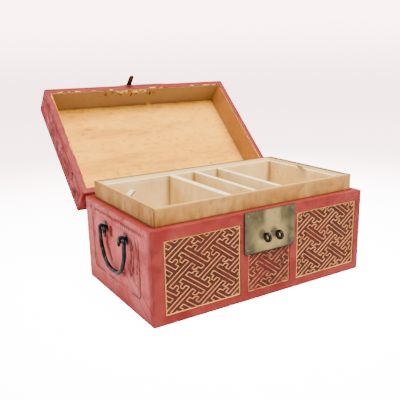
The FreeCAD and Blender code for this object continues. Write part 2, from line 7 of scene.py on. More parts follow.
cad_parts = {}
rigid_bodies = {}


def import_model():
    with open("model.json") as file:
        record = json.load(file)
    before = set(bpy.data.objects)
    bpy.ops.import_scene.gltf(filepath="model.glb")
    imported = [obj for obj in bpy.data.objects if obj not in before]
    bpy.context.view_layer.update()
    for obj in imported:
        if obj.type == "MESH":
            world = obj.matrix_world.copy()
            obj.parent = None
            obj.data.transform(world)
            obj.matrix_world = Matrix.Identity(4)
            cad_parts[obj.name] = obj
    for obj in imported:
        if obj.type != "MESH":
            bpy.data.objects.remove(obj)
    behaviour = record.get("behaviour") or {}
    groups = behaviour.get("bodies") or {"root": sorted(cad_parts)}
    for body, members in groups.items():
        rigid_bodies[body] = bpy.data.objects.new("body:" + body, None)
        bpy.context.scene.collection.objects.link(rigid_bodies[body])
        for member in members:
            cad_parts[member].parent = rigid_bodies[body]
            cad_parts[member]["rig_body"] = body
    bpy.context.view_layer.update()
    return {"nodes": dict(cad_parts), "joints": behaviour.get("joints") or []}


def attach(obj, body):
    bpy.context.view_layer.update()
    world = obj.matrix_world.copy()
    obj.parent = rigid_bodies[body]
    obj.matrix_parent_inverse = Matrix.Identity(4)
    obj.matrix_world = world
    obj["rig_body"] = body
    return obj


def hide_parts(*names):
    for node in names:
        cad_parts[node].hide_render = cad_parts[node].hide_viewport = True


# Looks for the leather-covered jewellery case.
# Sizes are in millimetres until a mesh is made, and the row frame is in metres.
# A lid piece is shaped and painted as if the lid were shut, and then swung open with it.

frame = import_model()

MM = 0.001
SIDES = (-1, 1)

# ---------------------------------------------------------------- camera, lights and floor
CAMERA_PLACE = (-353.8, -518.8, 256.1)
CAMERA_YAW, CAMERA_PITCH, CAMERA_ROLL = 31.7375, 14.7895, -1.146   # degrees
CAMERA_LENS, SENSOR = 49.33, 36.0

FLOOR_R, FLOOR_BEND, FLOOR_RISE = 2600.0, 1200.0, 1400.0
FLOOR_DROP = 0.15             # floor below the case's underside
FLOOR_GLOW_NEAR, FLOOR_GLOW_FAR = 14.5, 4.8      # how much brighter the floor looks than it lights
FLOOR_FADE = (100.0, 1000.0)  # distance from the case over which the glow fades
WALL_GLOW, WALL_RISE = 1.9, 600.0                # the glow grows again up the wall
WORLD_COLOUR, WORLD_STRENGTH = (1.0, 0.985, 0.98), 0.36
TOP_LIGHT = ((250.0, -750.0, 2300.0), 1700.0, 205.0)       # place, size, power
SIDE_LIGHT = ((-1900.0, 1400.0, 850.0), 900.0, 56.0)       # grazes the left side from behind

# ---------------------------------------------------------------- the joint that opens the lid
JOINTS = {joint["name"]: joint for joint in frame["joints"]}
HINGE = Vector(JOINTS["lid_hinge"]["pos_m"])
LID_ANGLE = math.radians(JOINTS["lid_hinge"]["range_deg"][0])
OPEN_LID = (Matrix.Translation(HINGE) @ Matrix.Rotation(LID_ANGLE, 4, "X")
            @ Matrix.Translation(-HINGE))
SHUT_LID = OPEN_LID.inverted()
LID_BODIES = ("lid", "hasp_tongue")


def node_body(node):
    """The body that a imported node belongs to."""
    return frame["nodes"][node]["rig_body"]


def cad_shape(node):
    """A node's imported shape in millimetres, with a lid node swung shut."""
    bm = bmesh.new()
    bm.from_mesh(frame["nodes"][node].data)
    if node_body(node) in LID_BODIES:
        bmesh.ops.transform(bm, matrix=SHUT_LID, verts=bm.verts)
    bmesh.ops.scale(bm, vec=(1 / MM,) * 3, verts=bm.verts)
    bmesh.ops.remove_doubles(bm, verts=bm.verts, dist=0.002)
    bmesh.ops.dissolve_limit(bm, angle_limit=math.radians(1), verts=bm.verts, edges=bm.edges)
    return bm


def shape_box(node):
    """Lowest and highest corner of a node in millimetres, with a lid node swung shut."""
    bm = cad_shape(node)
    low = Vector(min(v.co[i] for v in bm.verts) for i in range(3))
    high = Vector(max(v.co[i] for v in bm.verts) for i in range(3))
    bm.free()
    return low, high


# ---------------------------------------------------------------- small number helpers
def ripple(point, size, seed=0.0):
    """Smooth noise from -1 to 1 whose features are about size across."""
    return noise.noise(Vector(point) / size + Vector((seed, 1.7 * seed, -seed)))


def ramp(value, low, high):
    """0 below low, 1 above high, and smooth between them."""
    share = min(max((value - low) / (high - low), 0.0), 1.0)
    return share * share * (3 - 2 * share)


def patch(point, size, seed, low, high):
    """Smooth patches about size across, 0 between them and 1 inside."""
    return ramp(ripple(point, size, seed), low, high)


def line_mark(distance, width):
    """1 on a line and fading to 0 about a width away from it."""
    return math.exp(-(distance / width) ** 2)


def frame_distance(u, v, left, right, low, high, corner):
    """Signed distance from a rounded rectangle's outline, negative inside."""
    across = max(left - u, u - right) + corner
    up = max(low - v, v - high) + corner
    return math.hypot(max(across, 0), max(up, 0)) + min(max(across, up), 0) - corner


def zigzag(value, period):
    """A wave of straight ramps from -1 to 1."""
    share = (value / period) % 1.0
    return 4 * abs(share - 0.5) - 1


# ---------------------------------------------------------------- mesh helpers
def soften(bm, radius, steps=3, over=35.0):
    """Round every edge that turns by more than the given degrees."""
    sharp = [e for e in bm.edges
             if len(e.link_faces) == 2 and math.degrees(e.calc_face_angle()) > over]
    bmesh.ops.bevel(bm, geom=sharp, offset=radius, offset_type="OFFSET", segments=steps,
                    profile=0.5, affect="EDGES", clamp_overlap=True)


def cut_across(bm, axis, value):
    """Cut a shape along one plane and keep both parts joined."""
    direction = Vector((0, 0, 0))
    direction[axis] = 1
    bmesh.ops.bisect_plane(bm, geom=bm.verts[:] + bm.edges[:] + bm.faces[:], dist=0.0005,
                           plane_co=direction * value, plane_no=direction)


def cut_grid(bm, pitch):
    """Cut flat stretches into cells, so that their points can be moved and painted."""
    for axis in range(3):
        low = min(v.co[axis] for v in bm.verts)
        high = max(v.co[axis] for v in bm.verts)
        count = int((high - low) / pitch)
        for step in range(1, count):
            cut_across(bm, axis, low + (high - low) * step / count)


def push(bm, amount):
    """Move every point along its normal by amount(place, normal)."""
    bm.normal_update()
    moves = [(v, v.normal * amount(v.co, v.normal)) for v in bm.verts]
    for v, move in moves:
        v.co += move


def no_marks(place, normal):
    """Nothing painted."""
    return 0.0, 0.0, 0.0


def keep(bm, name, body, look, replaced=(), marks=no_marks, crease=40.0):
    """Turn a millimetre shape into a piece that rides on a body; look is its material slot."""
    bm.normal_update()
    painted = [marks(v.co, v.normal) for v in bm.verts]
    mesh = bpy.data.meshes.new(name)
    bm.to_mesh(mesh)
    bm.free()
    for index, mark in enumerate(("worn", "dark", "stain")):
        layer = mesh.attributes.new(mark, "FLOAT", "POINT")
        layer.data.foreach_set("value", [min(max(p[index], 0.0), 1.0) for p in painted])
    mesh.transform(Matrix.Scale(MM, 4))
    if body in LID_BODIES:
        mesh.transform(OPEN_LID)
    mesh.shade_smooth()
    mesh.set_sharp_from_angle(angle=math.radians(crease))
    mesh.materials.append(MATERIALS[look])
    obj = bpy.data.objects.new(name, mesh)
    bpy.context.scene.collection.objects.link(obj)
    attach(obj, body)
    if replaced:
        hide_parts(*replaced)
    return obj


def dressed(node, look, radius, pitch=None, bulge=None, marks=no_marks, steps=3, cuts=()):
    """Replace a node with its own shape, its edges rounded, its faces uneven and painted."""
    bm = cad_shape(node)
    soften(bm, radius, steps)
    if pitch:
        cut_grid(bm, pitch)
    for axis, value in cuts:
        cut_across(bm, axis, value)
    if bulge:
        push(bm, bulge)
    return keep(bm, node + "_finish", node_body(node), look, [node], marks)


def add_field(bm, u_range, v_range, pitch, place, depth):
    """A closed slab whose top follows place(u, v, 0) and whose underside lies depth below it."""
    counts = [max(2, round((high - low) / pitch)) for low, high in (u_range, v_range)]
    steps = [[low + (high - low) * i / n for i in range(n + 1)]
             for (low, high), n in zip((u_range, v_range), counts)]
    top = [[bm.verts.new(place(u, v, 0.0)) for v in steps[1]] for u in steps[0]]
    for here, after in zip(top, top[1:]):
        for i in range(counts[1]):
            bm.faces.new((here[i], after[i], after[i + 1], here[i + 1]))
    under = {(i, j): bm.verts.new(place(steps[0][i], steps[1][j], depth))
             for i in (0, -1) for j in (0, -1)}
    bm.faces.new([under[0, 0], under[0, -1], under[-1, -1], under[-1, 0]])
    bm.faces.new([row[0] for row in top] + [under[-1, 0], under[0, 0]])
    bm.faces.new([row[-1] for row in reversed(top)] + [under[0, -1], under[-1, -1]])
    bm.faces.new(list(reversed(top[0])) + [under[0, 0], under[0, -1]])
    bm.faces.new(top[-1] + [under[-1, -1], under[-1, 0]])
    return bm


def face_outwards(bm):
    """Turn every face of a closed shape to look out."""
    bmesh.ops.recalc_face_normals(bm, faces=bm.faces)
    return bm


def tube(bm, path, radius_at, sides=14):
    """A round bar along a list of points, with domed ends; radius_at takes the share along it."""
    total = sum((b - a).length for a, b in zip(path, path[1:]))
    along, done = (path[1] - path[0]).normalized(), 0.0
    side = along.orthogonal().normalized()
    rings = []
    for index, point in enumerate(path):
        before, after = path[max(index - 1, 0)], path[min(index + 1, len(path) - 1)]
        turned = (after - before).normalized()
        side = (side - turned * side.dot(turned)).normalized()
        other = turned.cross(side)
        radius = radius_at(done / total)
        rings.append([bm.verts.new(point + radius * (math.cos(t) * side + math.sin(t) * other))
                      for t in (2 * math.pi * k / sides for k in range(sides))])
        if index + 1 < len(path):
            done += (path[index + 1] - point).length
        along = turned
    for here, after in zip(rings, rings[1:]):
        for k in range(sides):
            bm.faces.new((here[k], here[(k + 1) % sides], after[(k + 1) % sides], after[k]))
    for ring, point, out in ((rings[0], path[0], path[0] - path[1]), (rings[-1], path[-1], along)):
        tip = bm.verts.new(point + out.normalized() * (ring[0].co - point).length * 0.6)
        for k in range(sides):
            bm.faces.new((ring[k], ring[(k + 1) % sides], tip))
    return face_outwards(bm)


# ---------------------------------------------------------------- material helpers
class Look:
    """Adds shader nodes to one material; numbers, colours and sockets feed any input."""

    def __init__(self, name):
        self.material = bpy.data.materials.new(name)
        self.material.use_nodes = True
        self.tree = self.material.node_tree
        self.tree.nodes.clear()
        self.place = self.add("ShaderNodeTexCoord").outputs["Object"]

    def add(self, kind, inputs=None, **settings):
        """One node with its settings made and its inputs fed."""
        made = self.tree.nodes.new(kind)
        for key, value in settings.items():
            setattr(made, key, value)
        for key, value in (inputs or {}).items():
            if isinstance(value, bpy.types.NodeSocket):
                self.tree.links.new(value, made.inputs[key])
            else:
                made.inputs[key].default_value = value
        return made

    def stretched(self, stretch):
        """Object coordinates scaled by a factor on each axis."""
        return self.add("ShaderNodeMapping", {"Vector": self.place, "Scale": stretch}).outputs[0]

    def noise(self, scale, detail=4.0, rough=0.55, stretch=None):
        """Cloudy noise, scale features to the metre."""
        place = self.stretched(stretch) if stretch else self.place
        return self.add("ShaderNodeTexNoise", {"Vector": place, "Scale": scale, "Detail": detail,
                                               "Roughness": rough}).outputs[0]

    def cells(self, scale):
        """Distance in a field of cells, scale cells to the metre."""
        cells = self.add("ShaderNodeTexVoronoi", {"Vector": self.place, "Scale": scale})
        return cells.outputs["Distance"]

    def mark(self, name):
        """A painted attribute of the piece, 0 where it has none."""
        return self.add("ShaderNodeAttribute", attribute_name=name).outputs["Fac"]

    def spread(self, value, low, high, new_low=0.0, new_high=1.0):
        """Stretch a range of values smoothly over another."""
        return self.add("ShaderNodeMapRange", {
            "Value": value, "From Min": low, "From Max": high, "To Min": new_low,
            "To Max": new_high}, interpolation_type="SMOOTHSTEP").outputs[0]

    def sum(self, first, second):
        """Two values added, kept from 0 to 1."""
        return self.add("ShaderNodeMath", {0: first, 1: second}, use_clamp=True).outputs[0]

    def times(self, first, second):
        """Two values multiplied."""
        return self.add("ShaderNodeMath", {0: first, 1: second}, operation="MULTIPLY").outputs[0]

    def blend(self, share, first, second):
        """Two colours mixed by a share."""
        return self.add("ShaderNodeMix", {0: share, 6: first, 7: second}, data_type="RGBA").outputs[2]

    def finish(self, colour, roughness, height, depth, gloss, metallic=0.0):
        """Close the material with a bump of the given depth in metres and a specular level."""
        bump = self.add("ShaderNodeBump", {"Height": height, "Distance": depth, "Strength": 1.0})
        shader = self.add("ShaderNodeBsdfPrincipled", {
            "Base Color": colour, "Roughness": roughness, "Normal": bump.outputs[0],
            "Specular IOR Level": gloss, "Metallic": metallic})
        self.add("ShaderNodeOutputMaterial", {"Surface": shader.outputs[0]})
        return self.material


# specular levels of dry old surfaces, and how deep their finest grain is in metres
LEATHER_GLOSS, SIDE_GLOSS, PAPER_GLOSS, METAL_GLOSS, RIBBON_GLOSS = 0.2, 0.05, 0.12, 0.3, 0.5
LEATHER_GRAIN, STIPPLE, GILT_GRAIN, PAPER_GRAIN, METAL_GRAIN = 0.00028, 0.0003, 0.0002, 0.00012, 0.00015


def tone(red, green, blue):
    """A colour from its linear red, green and blue."""
    return (red, green, blue, 1.0)


def leather(name, ground, pale, deep, dirt, stained, gloss=LEATHER_GLOSS):
    """Dyed leather with cloudy fading, creases, speckled dirt and painted wear."""
    look = Look(name)
    clouds, patches = look.noise(14.0, 5.0), look.noise(70.0, 6.0, 0.65)
    speckle, pores = look.noise(480.0, 4.0, 0.75), look.cells(620.0)
    creases = look.noise(120.0, 8.0, 0.75)
    colour = look.blend(look.spread(clouds, 0.38, 0.66), ground, pale)
    colour = look.blend(look.spread(patches, 0.46, 0.72, 0.0, 0.75), colour, deep)
    worn = look.times(look.mark("worn"), look.spread(creases, 0.35, 0.7))
    colour = look.blend(worn, colour, pale)
    colour = look.blend(look.mark("stain"), colour, stained)
    dirty = look.sum(look.mark("dark"), look.spread(speckle, 0.60, 0.76, 0.0, 0.55))
    colour = look.blend(dirty, colour, dirt)
    height = look.sum(look.spread(pores, 0.0, 0.6, 0.0, 0.5), look.spread(creases, 0.3, 0.7, 0.0, 0.5))
    roughness = look.spread(patches, 0.3, 0.75, 0.42, 0.68)
    return look.finish(colour, roughness, height, LEATHER_GRAIN, gloss)


def fret_ground(name):
    """The sunk ground of an embossed panel: brown lacquer over red, gold left in the corners."""
    look = Look(name)
    clouds, patches = look.noise(28.0, 5.0, 0.6), look.noise(160.0, 5.0, 0.65)
    stipple = look.cells(950.0)
    colour = look.blend(look.spread(clouds, 0.38, 0.62), tone(0.083, 0.0165, 0.005),
                        tone(0.052, 0.0135, 0.004))
    colour = look.blend(look.mark("worn"), colour, tone(0.12, 0.014, 0.009))
    colour = look.blend(look.spread(patches, 0.5, 0.75, 0.0, 0.5), colour, tone(0.020, 0.008, 0.004))
    colour = look.blend(look.mark("stain"), colour, tone(0.50, 0.26, 0.06))
    colour = look.blend(look.mark("dark"), colour, tone(0.02, 0.008, 0.005))
    roughness = look.spread(patches, 0.3, 0.7, 0.45, 0.7)
    return look.finish(colour, roughness, look.spread(stipple, 0.0, 0.6), STIPPLE, LEATHER_GLOSS)


def gilding(name):
    """Gold leaf on raised lines, rubbed through to the red beneath."""
    look = Look(name)
    rub, fleck = look.noise(110.0, 5.0, 0.7), look.noise(800.0, 3.0, 0.6)
    rubbed = look.times(look.mark("worn"), look.spread(rub, 0.3, 0.62))
    colour = look.blend(look.spread(fleck, 0.4, 0.7), tone(0.70, 0.255, 0.082), tone(0.78, 0.34, 0.12))
    colour = look.blend(look.mark("stain"), colour, tone(0.80, 0.47, 0.11))
    colour = look.blend(rubbed, colour, tone(0.27, 0.058, 0.034))
    colour = look.blend(look.mark("dark"), colour, tone(0.10, 0.04, 0.02))
    roughness = look.spread(fleck, 0.3, 0.7, 0.38, 0.6)
    return look.finish(colour, roughness, rub, GILT_GRAIN, LEATHER_GLOSS)


def streaked_board(name, ground, pale, deep, spot, stained, streak):
    """Pale board or paper with streaks along one way, spots and stains."""
    look = Look(name)
    streaks, grain = look.noise(30.0, 6.0, 0.6, streak), look.noise(240.0, 4.0, 0.7, streak)
    clouds, spots = look.noise(22.0, 5.0, 0.6), look.noise(150.0, 4.0, 0.6)
    fibre = look.noise(1300.0, 3.0, 0.6)
    colour = look.blend(look.spread(clouds, 0.36, 0.66), ground, pale)
    colour = look.blend(look.spread(streaks, 0.44, 0.68, 0.0, 0.7), colour, deep)
    colour = look.blend(look.spread(grain, 0.50, 0.70, 0.0, 0.4), colour, deep)
    colour = look.blend(look.spread(spots, 0.62, 0.75, 0.0, 0.6), colour, spot)
    colour = look.blend(look.mark("stain"), colour, stained)
    colour = look.blend(look.mark("worn"), colour, pale)
    colour = look.blend(look.mark("dark"), colour, spot)
    height = look.sum(look.spread(fibre, 0.3, 0.7, 0.0, 0.5), look.spread(streaks, 0.3, 0.7, 0.0, 0.5))
    roughness = look.spread(clouds, 0.3, 0.7, 0.55, 0.8)
    return look.finish(colour, roughness, height, PAPER_GRAIN, PAPER_GLOSS)


def metal(name, bright, dull, tarnish, rough_low, rough_high, metallic):
    """Old metal, brighter where it is rubbed, tarnished in clouds and dull where dirt covers it."""
    look = Look(name)
    clouds, patches = look.noise(60.0, 6.0, 0.65), look.noise(300.0, 5.0, 0.7)
    scratches = look.noise(500.0, 4.0, 0.6, (1.0, 1.0, 0.08))
    colour = look.blend(look.spread(clouds, 0.4, 0.64), dull, tarnish)
    colour = look.blend(look.mark("worn"), colour, bright)
    colour = look.blend(look.spread(patches, 0.52, 0.72, 0.0, 0.6), colour, tarnish)
    colour = look.blend(look.mark("stain"), colour, dull)
    colour = look.blend(look.mark("dark"), colour, tone(0.030, 0.027, 0.024))
    height = look.sum(look.spread(patches, 0.3, 0.7, 0.0, 0.6),
                      look.spread(scratches, 0.4, 0.7, 0.0, 0.4))
    roughness = look.spread(clouds, 0.35, 0.68, rough_low, rough_high)
    bare = look.spread(look.mark("dark"), 0.2, 0.9, metallic, 0.0)
    return look.finish(colour, roughness, height, METAL_GRAIN, METAL_GLOSS, bare)


def woven(name, ground, thread):
    """A plain woven ribbon, with dirt, and toned as the paper where it is glued down."""
    look = Look(name)
    warp = look.add("ShaderNodeTexWave", {"Vector": look.place, "Scale": 700.0, "Distortion": 0.6},
                    bands_direction="Y").outputs["Fac"]
    weft = look.add("ShaderNodeTexWave", {"Vector": look.place, "Scale": 700.0, "Distortion": 0.6},
                    bands_direction="X").outputs["Fac"]
    weave = look.times(warp, weft)
    colour = look.blend(look.spread(look.noise(200.0), 0.35, 0.7), ground, thread)
    colour = look.blend(look.mark("stain"), colour, tone(0.72, 0.46, 0.17))
    colour = look.blend(look.mark("dark"), colour, tone(0.12, 0.09, 0.06))
    roughness = look.spread(weave, 0.0, 1.0, 0.65, 0.85)
    return look.finish(colour, roughness, weave, PAPER_GRAIN, RIBBON_GLOSS)


MATERIALS = {
    "front_leather": leather(
        "front_leather", tone(0.25, 0.0185, 0.0135), tone(0.29, 0.035, 0.026),
        tone(0.19, 0.0125, 0.0098), tone(0.045, 0.010, 0.008), tone(0.20, 0.009, 0.007)),
    "side_leather": leather(
        "side_leather", tone(0.47, 0.067, 0.063), tone(0.58, 0.136, 0.129),
        tone(0.37, 0.041, 0.039), tone(0.030, 0.011, 0.009), tone(0.19, 0.008, 0.007), SIDE_GLOSS),
    "fret_leather": fret_ground("fret_leather"),
    "fret_gold": gilding("fret_gold"),
    "base_paper": leather(
        "base_paper", tone(0.16, 0.03, 0.022), tone(0.20, 0.05, 0.04),
        tone(0.11, 0.02, 0.015), tone(0.05, 0.015, 0.012), tone(0.10, 0.04, 0.02)),
    "tan_board": streaked_board(
        "tan_board", tone(0.47, 0.205, 0.040), tone(0.56, 0.30, 0.080), tone(0.27, 0.105, 0.020),
        tone(0.11, 0.050, 0.015), tone(0.30, 0.040, 0.016), (1.0, 1.0, 0.2)),
    "cream_paper": streaked_board(
        "cream_paper", tone(0.80, 0.54, 0.20), tone(0.90, 0.70, 0.32), tone(0.70, 0.45, 0.16),
        tone(0.14, 0.06, 0.02), tone(0.45, 0.25, 0.09), (1.0, 1.0, 0.3)),
    "tray_board": streaked_board(
        "tray_board", tone(0.84, 0.60, 0.27), tone(0.97, 0.80, 0.44), tone(0.72, 0.48, 0.19),
        tone(0.26, 0.13, 0.05), tone(0.5, 0.30, 0.12), (0.3, 0.3, 1.0)),
    "lid_paper": streaked_board(
        "lid_paper", tone(0.93, 0.38, 0.010), tone(0.95, 0.46, 0.032), tone(0.60, 0.22, 0.010),
        tone(0.10, 0.040, 0.010), tone(0.215, 0.178, 0.105), (0.16, 1.0, 1.0)),
    "board_wood": streaked_board(
        "board_wood", tone(0.38, 0.22, 0.10), tone(0.47, 0.29, 0.14), tone(0.27, 0.14, 0.06),
        tone(0.13, 0.06, 0.03), tone(0.2, 0.1, 0.04), (0.08, 1.0, 1.0)),
    "ribbon": woven("ribbon", tone(0.84, 0.66, 0.34), tone(0.93, 0.80, 0.50)),
    "plate_brass": metal(
        "plate_brass", tone(0.45, 0.32, 0.115), tone(0.18, 0.137, 0.052), tone(0.085, 0.072, 0.032),
        0.34, 0.6, 0.6),
    "dark_bronze": metal(
        "dark_bronze", tone(0.14, 0.12, 0.10), tone(0.025, 0.023, 0.022), tone(0.012, 0.011, 0.011),
        0.24, 0.50, 0.8),
    "hinge_brass": metal(
        "hinge_brass", tone(0.45, 0.32, 0.14), tone(0.20, 0.14, 0.06), tone(0.08, 0.06, 0.035),
        0.34, 0.6, 0.7),
}

# CAD nodes that keep their own shape and only take a finished material
KEPT_NODES = {
    "board_wood": ("front_board", "back_board", "left_board", "right_board", "bottom_board",
                   "tray_battens", "lid_front_board", "lid_back_board", "lid_left_board",
                   "lid_right_board", "lid_top_board"),
    "dark_bronze": ("lid_plate_rivets", "tongue_pin"),
    "plate_brass": ("body_plate_nails", "lid_plate_nails", "panel_nail"),
    "hinge_brass": ("hinge_pins", "body_hinge_nails", "lid_hinge_nails"),
}


def finish_kept_nodes():
    """Give the carried-over nodes their materials."""
    for look, names in KEPT_NODES.items():
        for name in names:
            node = frame["nodes"][name]
            for slot in node.material_slots:
                slot.material = MATERIALS[look]


# ---------------------------------------------------------------- leather of the front and the rims
PLATE_LOW, PLATE_HIGH = shape_box("body_lock_plate")
PLATE_SHADE_REACH = 2.6             # how far the painted shade and dirt round the lock plate reach
RIM_SKIN = 1.2                # leather turned over the top of the sides
LEATHER_PITCH, LEATHER_ROUND, RIM_ROUND = 4.0, 0.6, 0.42


def plate_shade_and_dirt(x, z):
    """Painted shade and dirt gathered beside and under the lock plate."""
    gap = frame_distance(x, z, PLATE_LOW.x, PLATE_HIGH.x, PLATE_LOW.z, PLATE_HIGH.z + 9.0, 3.0)
    reach = PLATE_SHADE_REACH if x < 0 or z < PLATE_LOW.z else 0.6 * PLATE_SHADE_REACH
    return 1 - ramp(gap, 0.25 * reach, reach)


def front_marks(place, normal):
    """Rubbed edges, small knocks, and the painted shade and dirt round the plate on the red front."""
    edge = 1 - max(abs(normal.x), abs(normal.y), abs(normal.z))
    knocks = 0.3 * patch(place, 9.0, 3.1, 0.3, 0.6)
    inner = line_mark(abs(place.x) - HALF_W + 1.5, 1.2) * patch(place, 6.0, 3.7, -0.1, 0.4)
    grime_and_shade = 0.0
    # painted shade and dirt darken the leather round the lock plate
    if PLATE_LOW.z - 5 < place.z < PLATE_HIGH.z:
        grime_and_shade = 0.9 * plate_shade_and_dirt(place.x, place.z)
    deep = patch(place, 24.0, 3.9, 0.0, 0.5)
    return ramp(edge, 0.02, 0.25) * 0.6, max(knocks, 0.5 * inner, grime_and_shade), 0.8 * deep


def leather_bulge(place, normal):
    """Leather lies a little unevenly over its board."""
    return -0.07 + 0.06 * ripple(place, 14.0, 5.0) + 0.02 * ripple(place, 3.0, 9.0)


def make_front_leather():
    """Front frames, rims and underside."""
    cuts = [(0, PLATE_LOW.x - step) for step in (0.3, 1.0, 1.8, PLATE_SHADE_REACH)]
    cuts += [(0, PLATE_HIGH.x + step) for step in (0.3, 0.9, 1.6)]
    cuts += [(2, PLATE_LOW.z - step) for step in (0.3, 1.2, PLATE_SHADE_REACH)]
    for node, here in (("front_frame", cuts), ("lid_front_frame", ()), ("lid_top_frame", ())):
        dressed(node, "front_leather", LEATHER_ROUND, LEATHER_PITCH, leather_bulge, front_marks,
                cuts=here)
    for node in ("rim_leather", "lid_rim_leather"):
        dressed(node, "front_leather", RIM_ROUND, LEATHER_PITCH, leather_bulge, rim_marks)
    dressed("base_cover", "base_paper", 0.2, 12.0, leather_bulge)


def rim_marks(place, normal):
    """The rims are rubbed in places, with painted shade beside the collar and a painted shadow under the
    tongue.
    """
    on_lid = place.z > WRAP_HIGH.z + RIM_SKIN + 0.1
    if on_lid:
        # a painted shadow on the lid's rim under the tongue
        tongue_shadow = math.hypot((place.x - TONGUE_LOW.x - 3.0) / 5.0, (place.y - FRONT_Y) / 4.0)
        dark = max(0.8 * (1 - ramp(tongue_shadow, 0.6, 1.2)), 0.35 * patch(place, 5.0, 7.7, 0.1, 0.5))
    else:
        # painted shade on the rim where it meets the collar
        inner = max(abs(place.x) - COLLAR_X, abs(place.y) - COLLAR_Y)
        dark = 0.75 * (1 - ramp(inner, 0.4, 3.2 + 1.5 * ripple(place, 8.0, 7.3)))
    red = (0.7 if on_lid else 0.4) + 0.4 * ripple(place, 17.0, 2.0)
    return 0.6 * patch(place, 11.0, 7.0, 0.05, 0.5), dark, red


# ---------------------------------------------------------------- leather wrapped round the sides and back
WRAP_LOW, WRAP_HIGH = shape_box("body_leather")
LID_WRAP_LOW, LID_WRAP_HIGH = shape_box("lid_leather")
HALF_W, BACK_Y, FRONT_Y = WRAP_HIGH.x, WRAP_HIGH.y, WRAP_LOW.y
COLLAR_X, COLLAR_Y = shape_box("collar_front")[1].x, shape_box("collar_back")[1].y
COLLAR_TOP = shape_box("collar_front")[1].z
TONGUE_LOW = shape_box("hasp_tongue")[0]
WRAP_CORNER, WRAP_SKIN = 2.0, 1.1
SIDE_PITCH, BACK_PITCH = 0.9, 2.0
HANDLE = Vector(JOINTS["left_bail_swing"]["pos_m"]) / MM
EYE_HALF_PITCH = 26.0


def wrap_columns():
    """Places and outward directions round the left side, the back and the right side."""
    corner = WRAP_CORNER
    side_count = round((BACK_Y - corner - FRONT_Y) / SIDE_PITCH)
    back_count = round(2 * (HALF_W - corner) / BACK_PITCH)
    left = [((-HALF_W, FRONT_Y + (BACK_Y - corner - FRONT_Y) * i / side_count), (-1, 0))
            for i in range(side_count + 1)]
    turn = []
    for step in range(1, 5):
        angle = math.pi - step * math.pi / 10
        out = (math.cos(angle), math.sin(angle))
        turn.append(((-HALF_W + corner + corner * out[0], BACK_Y - corner + corner * out[1]), out))
    half = HALF_W - corner
    back = [((-half + 2 * half * i / back_count, BACK_Y), (0, 1)) for i in range(back_count + 1)]
    mirrored = [((-x, y), (-nx, ny)) for (x, y), (nx, ny) in reversed(left + turn)]
    return left + turn + back + mirrored


def make_wrap(node, name, low, high, relief, marks):
    """One strip of leather round three sides, with its relief pressed in from outside."""
    bm = bmesh.new()
    rows = round((high - low) / SIDE_PITCH)
    outer, inner = [], []
    for (x, y), (nx, ny) in wrap_columns():
        out = Vector((nx, ny, 0))
        foot = Vector((x, y, low))
        column = []
        for row in range(rows + 1):
            place = foot + Vector((0, 0, (high - low) * row / rows))
            column.append(bm.verts.new(place + out * relief(place, out)))
        outer.append(column)
        inner.append([bm.verts.new(foot - out * WRAP_SKIN),
                      bm.verts.new(foot - out * WRAP_SKIN + Vector((0, 0, high - low)))])
    for i in range(len(outer) - 1):
        here, after = outer[i], outer[i + 1]
        for row in range(rows):
            bm.faces.new((here[row], after[row], after[row + 1], here[row + 1]))
        bm.faces.new((inner[i][0], inner[i][1], inner[i + 1][1], inner[i + 1][0]))
        bm.faces.new((here[0], inner[i][0], inner[i + 1][0], after[0]))
        bm.faces.new((here[-1], after[-1], inner[i + 1][1], inner[i][1]))
    for column, (foot, head) in ((outer[0], inner[0]), (outer[-1], inner[-1])):
        bm.faces.new(column + [head, foot])
    return keep(face_outwards(bm), name, node_body(node), "side_leather", [node], marks)


# tooled rectangle on each side of the body: front, back, low and high edge
SIDE_TOOLING = (-56.0, 63.0, 20.0, 84.0)
BACK_TOOLING = (-126.0, 126.0, 12.0, 84.0)
TOOL_CORNER, TOOL_GAP = 4.0, 2.6
UPRIGHT_SHARE = 0.55          # how much finer the lines are that run across than upright ones
ZIGZAG_Z, ZIGZAG_PERIOD, ZIGZAG_RISE = 90.0, 4.6, 1.5


def tooling(place, out):
    """How strongly a body side is pressed by the tooled lines at a place."""
    on_side = abs(out.x) > abs(out.y)
    along = place.y if on_side else place.x
    front, back, low, high = SIDE_TOOLING if on_side else BACK_TOOLING
    along += 0.8 * ripple(place, 9.0, 10.0)
    gap = frame_distance(along * UPRIGHT_SHARE, place.z, front * UPRIGHT_SHARE, back * UPRIGHT_SHARE,
                         low, high, TOOL_CORNER)
    lines = max(line_mark(gap, 0.9), 0.55 * line_mark(gap + TOOL_GAP, 0.55))
    stitch = 0.0
    if on_side and front - 8 < along < back + 6:
        wave = ZIGZAG_Z + ZIGZAG_RISE * zigzag(along, ZIGZAG_PERIOD) + 0.8 * ripple(place, 20.0, 13.0)
        stitch = line_mark(place.z - wave, 1.3)
    kept = patch(place, 16.0, 11.0, -0.6, 0.0) * (1 - 0.6 * on_side * ramp(place.z - high, -5.0, -2.0))
    return max(lines * kept, stitch * patch(place, 11.0, 14.0, -0.75, -0.2))


SCUFF_REACHES = ((25.0, 0.9), (29.0, 1.0), (33.0, 0.7), (37.5, 0.9))   # from the bail's middle


def handle_rub(place):
    """Curved scuffs in front of the bail, where it has swung against the leather."""
    y, z = place.y - HANDLE.y, place.z - HANDLE.z
    if y > -30.0 or not -44.0 < z < 8.0:
        return 0.0
    rub = 0.0
    for reach, strength in SCUFF_REACHES:
        arc = math.hypot(y + 12.0, (z + 14.0) * 0.8) + 1.6 * ripple(place, 12.0, reach)
        rub = max(rub, strength * line_mark(arc - reach, 1.6))
    ends = ramp(z, -44.0, -36.0) * (1 - ramp(z, 0.0, 8.0))
    return rub * ends * patch(place, 5.0, 4.0, -0.6, 0.0)


